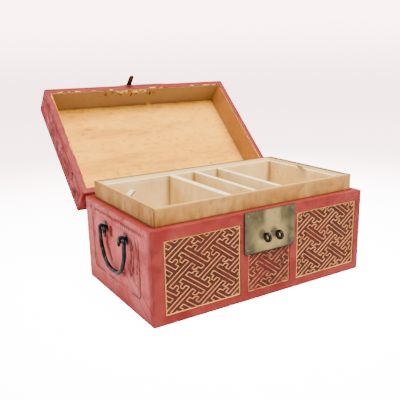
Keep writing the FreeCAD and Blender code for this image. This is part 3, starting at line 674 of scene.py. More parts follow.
def bail_shadow(place):
    """A painted shadow of the bail, deeper red beside its back leg and its back eye, where the dye also
    never faded.
    """
    y, z = place.y - HANDLE.y, place.z - HANDLE.z
    leg = min(31.5, 31.5 + 0.6 * (z + 19.0)) - 7.5 + 1.2 * ripple(place, 9.0, 6.0)
    beside = line_mark(y - leg, 3.0) * ramp(-z, 6.0, 11.0) * (1 - ramp(-z, 32.0, 38.0))
    under = line_mark(math.hypot(y + 15.0, z + 38.0) - 4.0, 2.6)
    inner_eye = ramp(max(abs(y - 12.5) - 3.2, abs(z + 2.0) - 6.0), 0.8, -0.8)
    return max(beside, 0.8 * under, inner_eye)


def eye_distance(place):
    """Distance in a side's plane from the nearer handle eye."""
    z = place.z - HANDLE.z
    return min(math.hypot(place.y - HANDLE.y - end * EYE_HALF_PITCH, z) for end in SIDES)


def body_relief(place, out):
    """Dents, creases and tooled lines of the body's leather."""
    flat = ramp(eye_distance(place), 4.0, 9.0) if abs(out.x) > 0.5 else 1.0
    soft = -0.16 + 0.14 * ripple(place, 22.0, 1.0) + 0.05 * ripple(place, 5.0, 2.0)
    tears = -0.5 * handle_rub(place) if abs(out.x) > 0.5 else 0.0
    edge = min(place.z - WRAP_LOW.z, WRAP_HIGH.z - place.z)
    rounded = -0.35 * (1 - ramp(edge, 0.0, 1.4))
    return flat * (soft - 0.55 * tooling(place, out) + tears) - 0.3 * crease_mark(place) + rounded


def body_marks(place, normal):
    """Fading, dirt in the tooled lines, scuffs by the handles, redder edges and a painted shadow of the
    bail.
    """
    on_side = abs(normal.x) > abs(normal.y)
    faded = 0.35 + 0.7 * ripple(place, 30.0, 8.0)
    dark = 0.95 * tooling(place, Vector((normal.x, normal.y, 0)))
    dark = max(dark, 0.5 * patch(place, 3.6, 12.0, 0.42, 0.64), 0.7 * crease_mark(place))
    stain = 0.4 * patch(place, 20.0, 15.0, 0.1, 0.5)
    if on_side:
        dark = max(dark, handle_rub(place), 0.9 * (1 - ramp(eye_distance(place), 5.2, 8.5)))
        # the bail's painted shadow, also unfaded dye, darkens and reddens the side
        dark = max(dark, 0.35 * bail_shadow(place))
        low_front = ramp(FRONT_Y + 11.0 - place.y, 0.0, 9.0)
        stain = max(stain, bail_shadow(place), 0.6 * low_front, 0.4 * (1 - ramp(place.z, 6.0, 34.0)))
        corner = max(0.0, 1 - (place.y - FRONT_Y) / 2.2)
        dark = max(dark, 0.5 * corner * patch(place, 7.0, 16.0, -0.3, 0.3))
    foot = 1 - ramp(place.z - WRAP_LOW.z, 0.0, 2.5)
    return faded, max(dark, 0.5 * foot), stain


def crease_mark(place):
    """Slanting creases low at the front of each side, and short cracks over the whole leather."""
    slant = place.y * 0.6 - place.z + 2.0 * ripple(place, 14.0, 17.0)
    low_front = ramp(-place.y, 5.0, 30.0) * (1 - ramp(place.z, 34.0, 52.0))
    crease = max(line_mark(slant + 62.0, 0.8), line_mark(slant + 49.0, 0.7)) * low_front
    cracks = line_mark(ripple(place, 9.0, 18.0), 0.045) * patch(place, 15.0, 19.0, 0.05, 0.4)
    return max(crease, 0.8 * cracks)


BAND_INSET, BAND_HALF = 8.0, 11.0   # the embossed band's distance from a corner, and half its height
BOSS_PITCH, BOSS_RISE = 9.0, 3.6


def lid_relief(place, out):
    """Embossed band and dents of the lid's leather."""
    along, reach = (place.y, BACK_Y) if abs(out.x) > abs(out.y) else (place.x, HALF_W)
    middle = (LID_WRAP_LOW.z + LID_WRAP_HIGH.z) / 2
    half = reach - BAND_INSET
    gap = frame_distance(along, place.z, -half, half,
                         middle - BAND_HALF, middle + BAND_HALF, TOOL_CORNER)
    wave = math.cos(along * math.pi / BOSS_PITCH) * math.cos((place.z - middle) / BOSS_RISE)
    boss = 0.9 * ramp(wave + 0.5 * ripple(place, 6.0, 20.0), 0.1, 0.6)
    embossed = boss if gap < -3.5 else 0.0
    soft = -0.5 + 0.16 * ripple(place, 18.0, 21.0) + 0.07 * ripple(place, 4.0, 22.0)
    edge = min(place.z - LID_WRAP_LOW.z, LID_WRAP_HIGH.z - place.z)
    rounded = -0.3 * (1 - ramp(edge, 0.0, 1.2))
    return soft - 0.5 * line_mark(gap, 1.1) + embossed + rounded


def lid_marks(place, normal):
    """Dirt round the lid's embossing and fading on its high places."""
    raised = lid_relief(place, Vector((normal.x, normal.y, 0)))
    dark = 0.8 * ramp(-raised, 0.55, 0.85)
    blotches = 0.7 if normal.x < -0.5 else 0.3
    dark = max(dark, blotches * patch(place, 5.5, 23.0, 0.15, 0.5))
    red = 0.6 + 0.5 * ripple(place, 16.0, 24.0)
    return 0.2 + 0.7 * ripple(place, 15.0, 25.0), dark, red


def make_side_leather():
    """The wraps of the body and of the lid."""
    make_wrap("body_leather", "case_wrap", WRAP_LOW.z, WRAP_HIGH.z, body_relief, body_marks)
    make_wrap("lid_leather", "lid_wrap", LID_WRAP_LOW.z, LID_WRAP_HIGH.z, lid_relief, lid_marks)


# ---------------------------------------------------------------- fret panels
FRET_X, FRET_Z = 3.67, 2.73   # one step of the slanting grid, across and down
FRET_CELL = 5                 # steps from one key to the next
KEY_CUT = 0.36                # how far a key's corner is cut back from the key's middle
# a raised line's section, as (sideways, out), and the widths that it is stretched to
FRET_SECTION = ((-0.50, -0.15), (-0.36, 0.26), (-0.16, 0.50), (0.16, 0.50), (0.36, 0.26), (0.50, -0.15))
LINE_WIDTH, BORDER_WIDTH, BORDER_INSET = 0.84, 1.2, 1.0
STRIP_STEP = 1.8
GROUND_PITCH, GROUND_THICK = 1.0, 0.7


def fret_key(mirror):
    """The two lines that turn round each other at a key, in grid steps from its middle."""
    line = [(FRET_CELL / 2, 2), (-1, 2), (-1, 1), (0, 1), (0, KEY_CUT),
            (KEY_CUT, 0), (1, 0), (1, 1), (2, 1), (2, -FRET_CELL / 2)]
    line = [(mirror * a, b) for a, b in line]
    return [line, [(-a, -b) for a, b in line]]


def fret_lines(window, origin):
    """Every fret line that may cross a window, as points on the panel."""
    (left, right), (low, high) = window
    reach = int(max(right - left, high - low) / (FRET_CELL * FRET_Z)) + 2
    lines = []
    for m in range(-reach, reach + 1):
        for n in range(-reach, reach + 1):
            mirror = 1 if (m + n) % 2 == 0 else -1
            for line in fret_key(mirror):
                steps = [(a + m * FRET_CELL, b + n * FRET_CELL) for a, b in line]
                lines.append([(origin[0] + (a - b) * FRET_X, origin[1] - (a + b) * FRET_Z)
                              for a, b in steps])
    return lines


def clip_segment(start, end, window):
    """The part of a straight line inside a window, or None."""
    near, far = 0.0, 1.0
    for axis in range(2):
        low, high = window[axis]
        delta = end[axis] - start[axis]
        if abs(delta) < 1e-9:
            if not low < start[axis] < high:
                return None
            continue
        first, last = sorted(((low - start[axis]) / delta, (high - start[axis]) / delta))
        near, far = max(near, first), min(far, last)
    if far - near < 1e-6:
        return None
    return [tuple(s + (e - s) * t for s, e in zip(start, end)) for t in (near, far)]


def clip_line(line, window):
    """The runs of a line that lie inside a window."""
    runs = []
    for start, end in zip(line, line[1:]):
        part = clip_segment(start, end, window)
        if part is None:
            continue
        if runs and math.dist(runs[-1][-1], part[0]) < 1e-6:
            runs[-1].append(part[1])
        else:
            runs.append(part)
    return runs


def strip_stations(run, closed):
    """Points along a run with the mitred sideways direction at each."""
    loop = [run[-1], *run, run[0]] if closed else [run[0], *run, run[-1]]
    stations = []
    for index in range(1, len(loop) - 1):
        before, here, after = (Vector(loop[index + k]) for k in (-1, 0, 1))
        into = (here - before).normalized() if here != before else (after - here).normalized()
        away = (after - here).normalized() if after != here else into
        half = (into + away).normalized()
        side = Vector((-half.y, half.x)) / max(half.dot(away), 0.4)
        stations.append((here, side))
        if index + 1 < len(loop) - 1 or closed:
            straight = Vector((-away.y, away.x))
            count = int((after - here).length / STRIP_STEP)
            stations += [(here.lerp(after, k / (count + 1)), straight) for k in range(1, count + 1)]
    return stations


def add_strip(bm, run, place, width, closed=False, caps=(True, True)):
    """A raised rounded line on a panel; place(u, v, h) turns panel places into space."""
    rings = []
    for point, side in strip_stations(run, closed):
        swell = 1 + 0.16 * ripple((point.x, point.y, 0), 2.2, 31.0)
        drift = side * 0.12 * ripple((point.x, point.y, 5), 7.0, 32.0)
        ring = []
        for offset, height in FRET_SECTION:
            spot = point + drift + side * offset * width
            ring.append(bm.verts.new(place(spot.x, spot.y, height * swell)))
        rings.append(ring)
    count = len(FRET_SECTION)
    pairs = list(zip(rings, rings[1:])) + ([(rings[-1], rings[0])] if closed else [])
    for here, after in pairs:
        for k in range(count):
            bm.faces.new((here[k], after[k], after[(k + 1) % count], here[(k + 1) % count]))
    if not closed:
        for ring, capped in ((rings[0], caps[0]), (rings[-1], caps[1])):
            if capped:
                bm.faces.new(ring)


def in_bar(u, v, origin):
    """How far inside the channel between two long lines a panel place lies, from 0 to 1."""
    across, down = (u - origin[0]) / FRET_X, (origin[1] - v) / FRET_Z
    grid = ((across + down) / 2, (down - across) / 2)
    depth = 0.0
    for along, beside, parity in ((grid[0], grid[1], 0), (grid[1], grid[0], 1)):
        row = math.floor(beside / FRET_CELL)
        inside = 0.5 - abs(beside - row * FRET_CELL - 2.5)
        if inside <= 0:
            continue
        first = math.floor(along / FRET_CELL)
        for cell in (first - 1, first, first + 1):
            if (cell + row) % 2 == parity and -1 < along - cell * FRET_CELL < FRET_CELL + 1:
                depth = max(depth, ramp(inside, 0.02, 0.3))
    return depth


def make_fret(name, body, window, place, origin, wear, replaced=(), flat=False):
    """One embossed panel: its sunk ground and the gilt lines that stand on it."""
    (left, right), (low, high) = window
    centre = ((left + right) / 2, (low + high) / 2)
    back = {}

    def corner_gold(u, v):
        away = math.hypot(right - left, high - low) / 2 - math.dist((u, v), centre)
        return ramp(11.0 - away, 0.0, 11.0) * patch((u, v, 3), 5.0, 41.0, -0.5, 0.4)

    def ground_place(u, v, depth):
        if depth:
            return place(u, v, -depth)
        height = 0.16 * in_bar(u, v, origin) + 0.05 * ripple((u, v, 1), 6.0, 42.0) - 0.06
        spot = place(u, v, height)
        back[tuple(round(c, 3) for c in spot)] = (u, v)
        return spot

    def ground_marks(spot, normal):
        u, v = back.get(tuple(round(c, 3) for c in spot), centre)
        rubbed = wear * (0.5 + 0.9 * ripple((u, v, 2), 26.0, 43.0))
        red = 0.4 * in_bar(u, v, origin) + rubbed
        # painted shade and dirt round the lock plate, on the case's panels
        grime_and_shade = plate_shade_and_dirt(u, v) if body == "case" else 0.0
        return red, 0.85 * grime_and_shade, 0.4 * corner_gold(u, v)

    ground = add_field(bmesh.new(), *window, GROUND_PITCH, ground_place, GROUND_THICK)
    keep(face_outwards(ground), name + "_ground", body, "fret_leather", replaced, ground_marks, 60.0)

    inset = BORDER_INSET + 0.4
    field = ((left + inset, right - inset), (low + inset, high - inset))
    runs = [run for line in fret_lines(window, origin) for run in clip_line(line, field)]
    ends = {}
    for run in runs:
        for end in (run[0], run[-1]):
            key = (round(end[0], 2), round(end[1], 2))
            ends[key] = ends.get(key, 0) + 1
    lines = bmesh.new()
    for run in runs:
        caps = [ends[round(end[0], 2), round(end[1], 2)] == 1 for end in (run[0], run[-1])]
        add_strip(lines, run, place, LINE_WIDTH, caps=caps)
    bmesh.ops.remove_doubles(lines, verts=lines.verts, dist=0.003)
    border = [(left + BORDER_INSET, low + BORDER_INSET), (right - BORDER_INSET, low + BORDER_INSET),
              (right - BORDER_INSET, high - BORDER_INSET), (left + BORDER_INSET, high - BORDER_INSET)]
    add_strip(lines, border, place, BORDER_WIDTH, closed=True)

    def line_marks(spot, normal):
        u, v = spot.x, spot.y if flat else spot.z
        rubbed = wear + 0.6 * ripple(spot, 24.0, 44.0) + 0.45 * ripple(spot, 6.0, 45.0)
        edge = min(u - left, right - u, v - low, high - v)
        yellow = max(0.8 * (1 - ramp(edge, 1.2, 2.4)), corner_gold(u, v)) * (1.15 - wear)
        # painted shade and dirt round the lock plate, on the case's panels
        grime_and_shade = plate_shade_and_dirt(u, v) if body == "case" else 0.0
        return rubbed, 0.8 * grime_and_shade, yellow

    obj = keep(face_outwards(lines), name + "_lines", body, "fret_gold", (), line_marks, 60.0)


# fret origin of each body panel, as a key's middle on the front, and how far its gold is rubbed
FRONT_FRETS = {
    "left": ((-91.6, 77.2), 0.25),
    "centre": ((2.0, 48.0), 0.95),
    "right": ((67.3, 69.6), 0.2),
}
TOP_FRETS = {"left": (-81.0, 0.0), "centre": (3.0, 12.0), "right": (86.0, 0.0)}


def front_place(face_y):
    """Turns places on a front panel into space."""
    return lambda u, v, height: Vector((u, face_y - height, v))


def make_front_frets():
    """The three panels of the body's front and the two of the lid's."""
    for side, (origin, wear) in FRONT_FRETS.items():
        node = side + "_fret_panel"
        low, high = shape_box(node)
        make_fret("body_" + side + "_fret", "case", ((low.x, high.x), (low.z, high.z)),
                  front_place(low.y), origin, wear, [node])
    low, high = shape_box("lid_front_fret_panels")
    for side in ("left", "right"):
        span = FRET_SPANS[side]
        make_fret("lid_" + side + "_fret", "lid", (span, (low.z, high.z)), front_place(low.y),
                  FRONT_FRETS[side][0], 0.3, ["lid_front_fret_panels"])


def make_top_frets():
    """The three panels of the lid's top."""
    low, high = shape_box("lid_top_fret_panels")
    for side, origin in TOP_FRETS.items():
        make_fret("top_" + side + "_fret", "lid", (FRET_SPANS[side], (low.y, high.y)),
                  lambda u, v, height: Vector((u, v, high.z + height)), origin, 0.35,
                  ["lid_top_fret_panels"], flat=True)


def fret_span(side):
    """Left and right edge of a body panel, which the lid's panels repeat."""
    low, high = shape_box(side + "_fret_panel")
    return low.x, high.x


FRET_SPANS = {side: fret_span(side) for side in FRONT_FRETS}


# ---------------------------------------------------------------- collar and its paper
def collar_marks(place, normal):
    """Redder along the collar's foot, painted shade along it and in patches low down, brown spots, dark
    edges and a painted highlight along the top.
    """
    rise = place.z - WRAP_HIGH.z - RIM_SKIN
    wander = 1.6 * ripple(place, 7.0, 51.0)
    corner = math.hypot(COLLAR_X + place.x, COLLAR_Y + place.y)
    beside = 1 - ramp(corner, 3.0, 12.0)
    red = (1 - ramp(rise, 0.2, 2.6 + wander + 3.0 * beside)) * 0.8
    # foot: a painted shade line where the collar stands on the rim; shade: painted shade in patches low
    # down
    foot = (1 - ramp(rise, 0.3, 1.5)) * 0.8
    seam = 0.85 * (1 - ramp(corner, 0.8, 1.9)) * (1 - ramp(rise, 15.0, 18.0))
    smear = 0.5 * ramp(6.0 - math.hypot(corner - 6.0, rise - 5.0), 0.0, 5.0)
    column = (place.x, place.y, 0)
    shade = 0.45 * (1 - ramp(rise, 3.0, 12.0)) * patch(column, 12.0, 52.0, -0.2, 0.4)
    shade = max(shade, 0.4 * patch(column, 4.0, 56.0, 0.2, 0.5) * (1 - ramp(rise, 8.0, 18.0)))
    mottle = 0.35 * patch(place, 7.0, 57.0, 0.15, 0.5)
    top = ramp(place.z - COLLAR_TOP, -1.0, -0.2)
    outer = max(ramp(place.x - COLLAR_X, -4.2, -3.6), ramp(place.y - COLLAR_Y, -4.2, -3.6),
                0.7 * ramp(-place.x - COLLAR_X, -1.6, -0.8))
    # pale: a painted highlight along the collar's top, inside the dark outer edges
    pale = 0.9 * ramp(place.z - COLLAR_TOP, -1.2, -0.5) * (1 - outer)
    worn = max(0.3 * patch(place, 12.0, 53.0, 0.0, 0.5), pale)
    return worn, max(foot, seam, (1 - top) * max(smear, shade, mottle), top * outer), red


def board_bulge(place, normal):
    """Paper over board is nearly flat."""
    return -0.05 + 0.05 * ripple(place, 16.0, 54.0)


def make_collar():
    """The four collar boards and the paper inside them."""
    levels = [(2, WRAP_HIGH.z + RIM_SKIN + step)
              for step in (0.0, 0.6, 1.3, 2.2, 3.4, 4.6, 6.0, 8.0, 11.0, 14.5)]
    for axis, reach in ((0, COLLAR_X), (1, COLLAR_Y)):
        levels += [(axis, step - reach) for step in (0.8, 1.6, 2.8, 5.0, 7.0, 9.0)]
        levels += [(axis, reach - step) for step in (3.2, 3.7)]
    for side in ("front", "back", "left", "right"):
        dressed("collar_" + side, "tan_board", 0.3, 4.0, board_bulge, collar_marks, cuts=levels)

    def paper_bulge(place, normal):
        return -0.04 + 0.05 * ripple(place, 8.0, 55.0)

    def paper_marks(place, normal):
        far = max(ramp(place.x - COLLAR_X, -7.0, -6.0), 0.45 * ramp(place.y - COLLAR_Y, -7.0, -6.0))
        edge = 0.9 * far * ramp(place.z, COLLAR_TOP - 1.5, COLLAR_TOP - 1.0)
        return 0.7 * ramp(place.z, COLLAR_TOP - 12.0, COLLAR_TOP - 3.0), edge, 0.0

    rim = [(2, COLLAR_TOP - 0.9), (2, COLLAR_TOP - 1.6)]
    dressed("cavity_lining", "tray_board", 0.15, 6.0, paper_bulge, paper_marks, cuts=rim)


# ---------------------------------------------------------------- tray
def tray_bulge(place, normal):
    """Papered boards with soft faces."""
    return -0.05 + 0.05 * ripple(place, 10.0, 61.0)


def tray_marks(place, normal):
    """Tops rubbed white, a little grime below."""
    return 0.9 * ramp(normal.z, 0.3, 0.8), 0.25 * patch(place, 5.0, 62.0, 0.4, 0.7), 0.0


def paper_corner_marks(place, normal):
    """Dark lines down the corners where the papers meet."""
    edges = []
    for spans in (COMPARTMENT_X, (-COMPARTMENT_Y, COMPARTMENT_Y)):
        value = place.x if spans is COMPARTMENT_X else place.y
        edges.append(min(abs(value - edge) for edge in spans))
    corner = 1 - ramp(math.hypot(*edges), 0.5, 1.1)
    grime_and_shade = 0.35 * patch(place, 9.0, 63.0, 0.3, 0.6)
    # the leftmost compartment's paper is toned darker as painted shade
    left_compartment_shade = 0.22 if place.x < COMPARTMENT_X[1] + 0.6 else 0.0
    return 0.3 * patch(place, 20.0, 64.0, 0.0, 0.5), max(0.9 * corner, 0.3 * grime_and_shade), left_compartment_shade


def compartment_edges():
    """Where the tray's cross walls stand along X, and the half depth of its inside."""
    walls = ["tray_left", "left_divider", "middle_divider", "right_divider", "tray_right"]
    edges = []
    for before, after in zip(walls, walls[1:]):
        edges += [shape_box(before)[1].x, shape_box(after)[0].x]
    return edges, shape_box("tray_back")[0].y


COMPARTMENT_X, COMPARTMENT_Y = compartment_edges()


def make_tray():
    """Tray boards, dividers, papers and pull tabs."""
    for node in ("tray_floor", "tray_front", "tray_back", "tray_left", "tray_right",
                 "left_divider", "middle_divider", "right_divider"):
        dressed(node, "tray_board", 0.45, 5.0, tray_bulge, tray_marks)
    dressed("tray_lining", "cream_paper", 0.35, 6.0, None, paper_corner_marks)
    for side, name in zip(SIDES, ("left", "right")):
        make_tab(name, side)


TAB_WIDTH, TAB_THICK = 12.0, 0.5
TAB_FLAT = 20.0               # the ribbon's length before it is folded
TAB_LEG, TAB_OFF = 11.5, 0.5  # how far down it is glued, and its middle's distance from the wall
FOLD_R, FOLD_DROP = 1.5, 1.6  # the fold's radius, and its middle's depth below the rim
FOLD_STEPS, END_STEPS = 6, 7
TAB_TILT = math.radians(42)   # the free end stands up this far from level
TAB_CUP = 0.35                # how far the free end bows up across its width


def tab_path():
    """The ribbon's line from its glued end to its free one, as (in, up) from the wall's rim."""
    path = [(TAB_OFF, -TAB_LEG), (TAB_OFF, -FOLD_DROP)]
    for step in range(1, FOLD_STEPS + 1):
        angle = math.pi - step * (math.pi / 2 - TAB_TILT) / FOLD_STEPS
        inward = TAB_OFF + FOLD_R + FOLD_R * math.cos(angle)
        path.append((inward, -FOLD_DROP + FOLD_R * math.sin(angle)))
    fold = path[-1]
    left = TAB_FLAT - sum(math.dist(a, b) for a, b in zip(path, path[1:]))
    for step in range(1, END_STEPS + 1):
        reach = left * step / END_STEPS
        path.append((fold[0] + reach * math.cos(TAB_TILT), fold[1] + reach * math.sin(TAB_TILT)))
    return path


def make_tab(name, side):
    """A short ribbon glued down inside a tray end, folded inwards at the rim."""
    node = name + "_pull_tab"
    low, high = shape_box(node)
    wall = low.x if side < 0 else high.x
    middle = (low.y + high.y) / 2
    path = tab_path()
    bm = bmesh.new()
    across = 8
    layers = []
    for lift in (0.0, TAB_THICK):
        rows = []
        for index, (into, up) in enumerate(path):
            before, after = path[max(index - 1, 0)], path[min(index + 1, len(path) - 1)]
            heading = Vector((after[0] - before[0], after[1] - before[1])).normalized()
            spot = Vector((into, up)) + Vector((-heading.y, heading.x)) * (lift - TAB_THICK / 2)
            row = []
            for k in range(across + 1):
                share = k / across - 0.5
                cup = TAB_CUP * (1 - 4 * share * share) * ramp(index, FOLD_STEPS + 1, len(path))
                y = middle + share * TAB_WIDTH
                row.append(bm.verts.new((wall - side * spot.x, y, high.z + spot.y + cup)))
            rows.append(row)
        layers.append(rows)
    count = len(path)
    for rows in layers:
        for i in range(count - 1):
            for k in range(across):
                bm.faces.new((rows[i][k], rows[i + 1][k], rows[i + 1][k + 1], rows[i][k + 1]))
    under, over = layers
    for i in range(count - 1):
        for k in (0, across):
            bm.faces.new((under[i][k], under[i + 1][k], over[i + 1][k], over[i][k]))
    for i in (0, count - 1):
        for k in range(across):
            bm.faces.new((under[i][k], under[i][k + 1], over[i][k + 1], over[i][k]))

    def marks(place, normal):
        rise = ramp(place.z - high.z, -3.0, -1.5)
        if side < 0:
            # left ribbon: the near long edge of its raised end is darkened as a painted shadow beneath it
            return 0.0, rise * ramp(middle - place.y, TAB_WIDTH / 2 - 3.1, TAB_WIDTH / 2 - 1.4), 0.0
        return 0.0, rise * (0.6 + 0.3 * ripple(place, 4.0, 66.0)), 1 - rise

    obj = keep(face_outwards(bm), node + "_ribbon", "tray", "ribbon", [node], marks)


# ---------------------------------------------------------------- lid lining
LINING_LOW, LINING_HIGH = shape_box("lid_lining")
LINING_SKIN, LINING_PROUD = 0.5, 0.6    # the paper's thickness, and its face's distance from its board
LINING_GAP = 0.2              # what it stays short of each corner
CEILING_PITCH, WALL_PITCH = 1.6, 1.3
RAG = 1.1                     # how far the paper's lower edge wanders
SCRATCHES = ((-86.0, -38.0, 12.0, 8.0), (-30.0, -22.0, 7.0, -25.0), (52.0, 18.0, 10.0, 35.0),
             (-70.0, 40.0, 9.0, 80.0), (20.0, 50.0, 14.0, -10.0))   # x, y, length, degrees


def scratch_mark(x, y):
    """Short dark strokes on the lid's ceiling."""
    best = 0.0
    for centre_x, centre_y, length, degrees in SCRATCHES:
        turn = math.radians(degrees)
        along = (x - centre_x) * math.cos(turn) + (y - centre_y) * math.sin(turn)
        beside = (y - centre_y) * math.cos(turn) - (x - centre_x) * math.sin(turn)
        if abs(along) < length / 2:
            best = max(best, line_mark(beside, 0.8) * (1 - (2 * along / length) ** 2))
    return best


def lining_marks(place, normal):
    """Brown walls, darkest at the front and on the right from darker paper and painted shade, torn pale
    patches by the clinched rivets, blotches and scratches.
    """
    rise = place.z - LINING_LOW.z
    ceiling = ramp(rise, 30.0, 32.0)
    front = ramp(LINING_LOW.y + 2.0 - place.y, 0.0, 0.5)
    blotch = patch(place, 13.0, 71.0, 0.35, 0.6)
    torn = 0.6 * front * patch((place.x, place.z * 1.4, 0), 5.0, 72.0, -0.05, 0.35)
    torn *= ramp(24.0 - abs(place.x + 14.0), 0.0, 8.0) * (1 - ramp(rise, 7.0, 13.0))
    edge = (1 - ramp(rise, 0.6, 2.4)) * patch(place, 4.0, 73.0, -0.2, 0.3)
    spots = front * patch(place, 3.4, 74.0, 0.2, 0.5) * ramp(60.0 - abs(place.x + 20.0), 0.0, 30.0)
    spots *= 1 - ramp(rise, 9.0, 16.0)
    dark = max(0.85 * ceiling * scratch_mark(place.x, place.y), 0.9 * spots,
               0.45 * patch(place, 2.2, 75.0, 0.5, 0.68),
               0.22 * ceiling * patch((place.x * 0.5, place.y, 0), 5.0, 70.0, 0.1, 0.6))
    # the front and right walls are stained darker for darker paper and painted shade
    right_wall = ramp(place.x - LINING_HIGH.x + 2.0, 0.0, 0.5)
    walls = (1 - ceiling) * (0.4 + 0.3 * ripple(place, 18.0, 76.0))
    fold = ceiling * (1 - ramp(LINING_HIGH.x - abs(place.x), 1.0, 5.0)) * 0.5
    stain = max(walls, 0.9 * front, 0.65 * right_wall, fold)
    return max(0.7 * blotch * ceiling, torn, edge), dark, stain


def make_lid_lining():
    """Paper on the lid's ceiling and inside its four walls, ragged along the rim."""
    bm = bmesh.new()
    low, high = LINING_LOW, LINING_HIGH
    across, deep = ((low[i] + LINING_GAP, high[i] - LINING_GAP) for i in range(2))
    wall = (low.z, high.z - LINING_PROUD)

    def swell(u, v):
        return 0.07 * ripple((u, v, 0), 17.0, 77.0) + 0.03 * ripple((u, v, 4), 4.0, 78.0)

    def ceiling(u, v, depth):
        return Vector((u, v, high.z - LINING_PROUD - swell(u, v) + depth))

    add_field(bm, across, deep, CEILING_PITCH, ceiling, LINING_SKIN)
    for side in SIDES:
        def end_wall(u, v, depth, side=side):
            x = side * (high.x - LINING_PROUD - swell(u, v) + depth)
            return Vector((x, u, v + ragged(u, v, side)))

        def long_wall(u, v, depth, side=side):
            face = high.y if side > 0 else -low.y
            y = side * (face - LINING_PROUD - swell(u, v) + depth)
            return Vector((u, y, v + ragged(u, v, side + 3)))

        add_field(bm, deep, wall, WALL_PITCH, end_wall, LINING_SKIN)
        add_field(bm, across, wall, WALL_PITCH, long_wall, LINING_SKIN)
    keep(face_outwards(bm), "lid_lining_paper", "lid", "lid_paper", ["lid_lining"], lining_marks, 50.0)


def ragged(u, v, seed):
    """How far the paper's lower edge is lifted at a place along a wall."""
    near_rim = 1 - ramp(v - LINING_LOW.z, 0.0, 2.5)
    return near_rim * RAG * (0.5 + 0.9 * ripple((u, seed, 0), 3.4, 79.0 + seed))


SCRAP_SIDES = 14
WALL_SCRAPS = ((-31.0, 4.4, 3.4), (-24.0, 3.2, 2.4), (-9.0, 4.6, 3.8), (-3.0, 3.0, 2.2),
               (6.5, 4.2, 2.6), (-37.0, 3.0, 2.0))                   # x, height, size
SIDE_CHIPS = ((-70.0, 2.2), (-61.0, 1.5), (-10.0, 1.8), (3.0, 1.4), (12.0, 3.2), (22.0, 2.4),
              (41.0, 1.2), (63.0, 1.8), (71.0, 2.8))                                  # y, size
FRONT_CHIPS = ((-120.0, 2.4), (-108.0, 1.4), (-97.0, 2.6), (-72.0, 1.4), (-48.0, 2.0), (17.0, 2.8),
               (31.0, 1.4), (84.0, 1.8), (109.0, 3.0), (123.0, 1.8))                  # x, size
CHIP_PROUD, CHIP_THICK = 0.03, 0.16     # how far out of the rim, and the whole thickness
LONG_CHIP, ROUND_SCRAP = (2.3, 0.42), (1.3, 0.7)         # half length and half width to size


def add_scrap(bm, middle, along, up, out, halves, shape, thickness, curl=0.0):
    """A closed irregular scrap lying on a face, its upper side curling off a little."""
    rings = []
    for lift in (0.0, thickness):
        ring = []
        for k in range(SCRAP_SIDES):
            turn = 2 * math.pi * k / SCRAP_SIDES
            reach = 0.75 + 0.8 * ripple((math.cos(turn), math.sin(turn), shape), 0.6, 81.0)
            rise = lift + curl * max(0.0, math.sin(turn)) ** 2
            ring.append(bm.verts.new(middle + along * (halves[0] * reach * math.cos(turn))
                                     + up * (halves[1] * reach * math.sin(turn)) + out * rise))
        hub = bm.verts.new(middle + out * lift)
        for k in range(SCRAP_SIDES):
            bm.faces.new((hub, ring[k], ring[(k + 1) % SCRAP_SIDES]))
        rings.append(ring)
    low, high = rings
    for k in range(SCRAP_SIDES):
        after = (k + 1) % SCRAP_SIDES
        bm.faces.new((low[k], low[after], high[after], high[k]))


def make_scraps():
    """Torn paper by the front wall's rim, and pale chips where the rim's leather has frayed."""
    across, back, up = Vector((1, 0, 0)), Vector((0, 1, 0)), Vector((0, 0, 1))
    torn = bmesh.new()
    for index, (x, rise, size) in enumerate(WALL_SCRAPS):
        middle = Vector((x, LINING_LOW.y + 0.62, LINING_LOW.z + rise))
        add_scrap(torn, middle, across, up, back, [h * size for h in ROUND_SCRAP], index, 0.22, 0.7)
    keep(face_outwards(torn), "lid_torn_paper", "lid", "cream_paper")
    chips = bmesh.new()
    low = shape_box("lid_rim_leather")[0].z - CHIP_PROUD
    for index, (y, size) in enumerate(SIDE_CHIPS):
        middle = Vector((LINING_LOW.x - 0.1 * size, y, low))
        heights = [h * size for h in LONG_CHIP]
        add_scrap(chips, middle, back, across, up, heights, index + 20, CHIP_THICK)
    for index, (x, size) in enumerate(FRONT_CHIPS):
        middle = Vector((x, LINING_LOW.y - 0.1 * size, low))
        heights = [h * size for h in LONG_CHIP]
        add_scrap(chips, middle, across, back, up, heights, index + 40, CHIP_THICK)
    keep(face_outwards(chips), "lid_rim_chips", "lid", "lid_paper")


# ---------------------------------------------------------------- lock, handles and hinges
STAPLE_LOW, STAPLE_HIGH = shape_box("lock_staples")
NAIL_HOLE = ((PLATE_LOW.x + PLATE_HIGH.x) / 2 + 1.6, (STAPLE_LOW.z + STAPLE_HIGH.z) / 2 + 3.4)


def plate_bulge(place, normal):
    """Hammered brass is never quite flat."""
    return -0.03 + 0.04 * ripple(place, 9.0, 91.0)


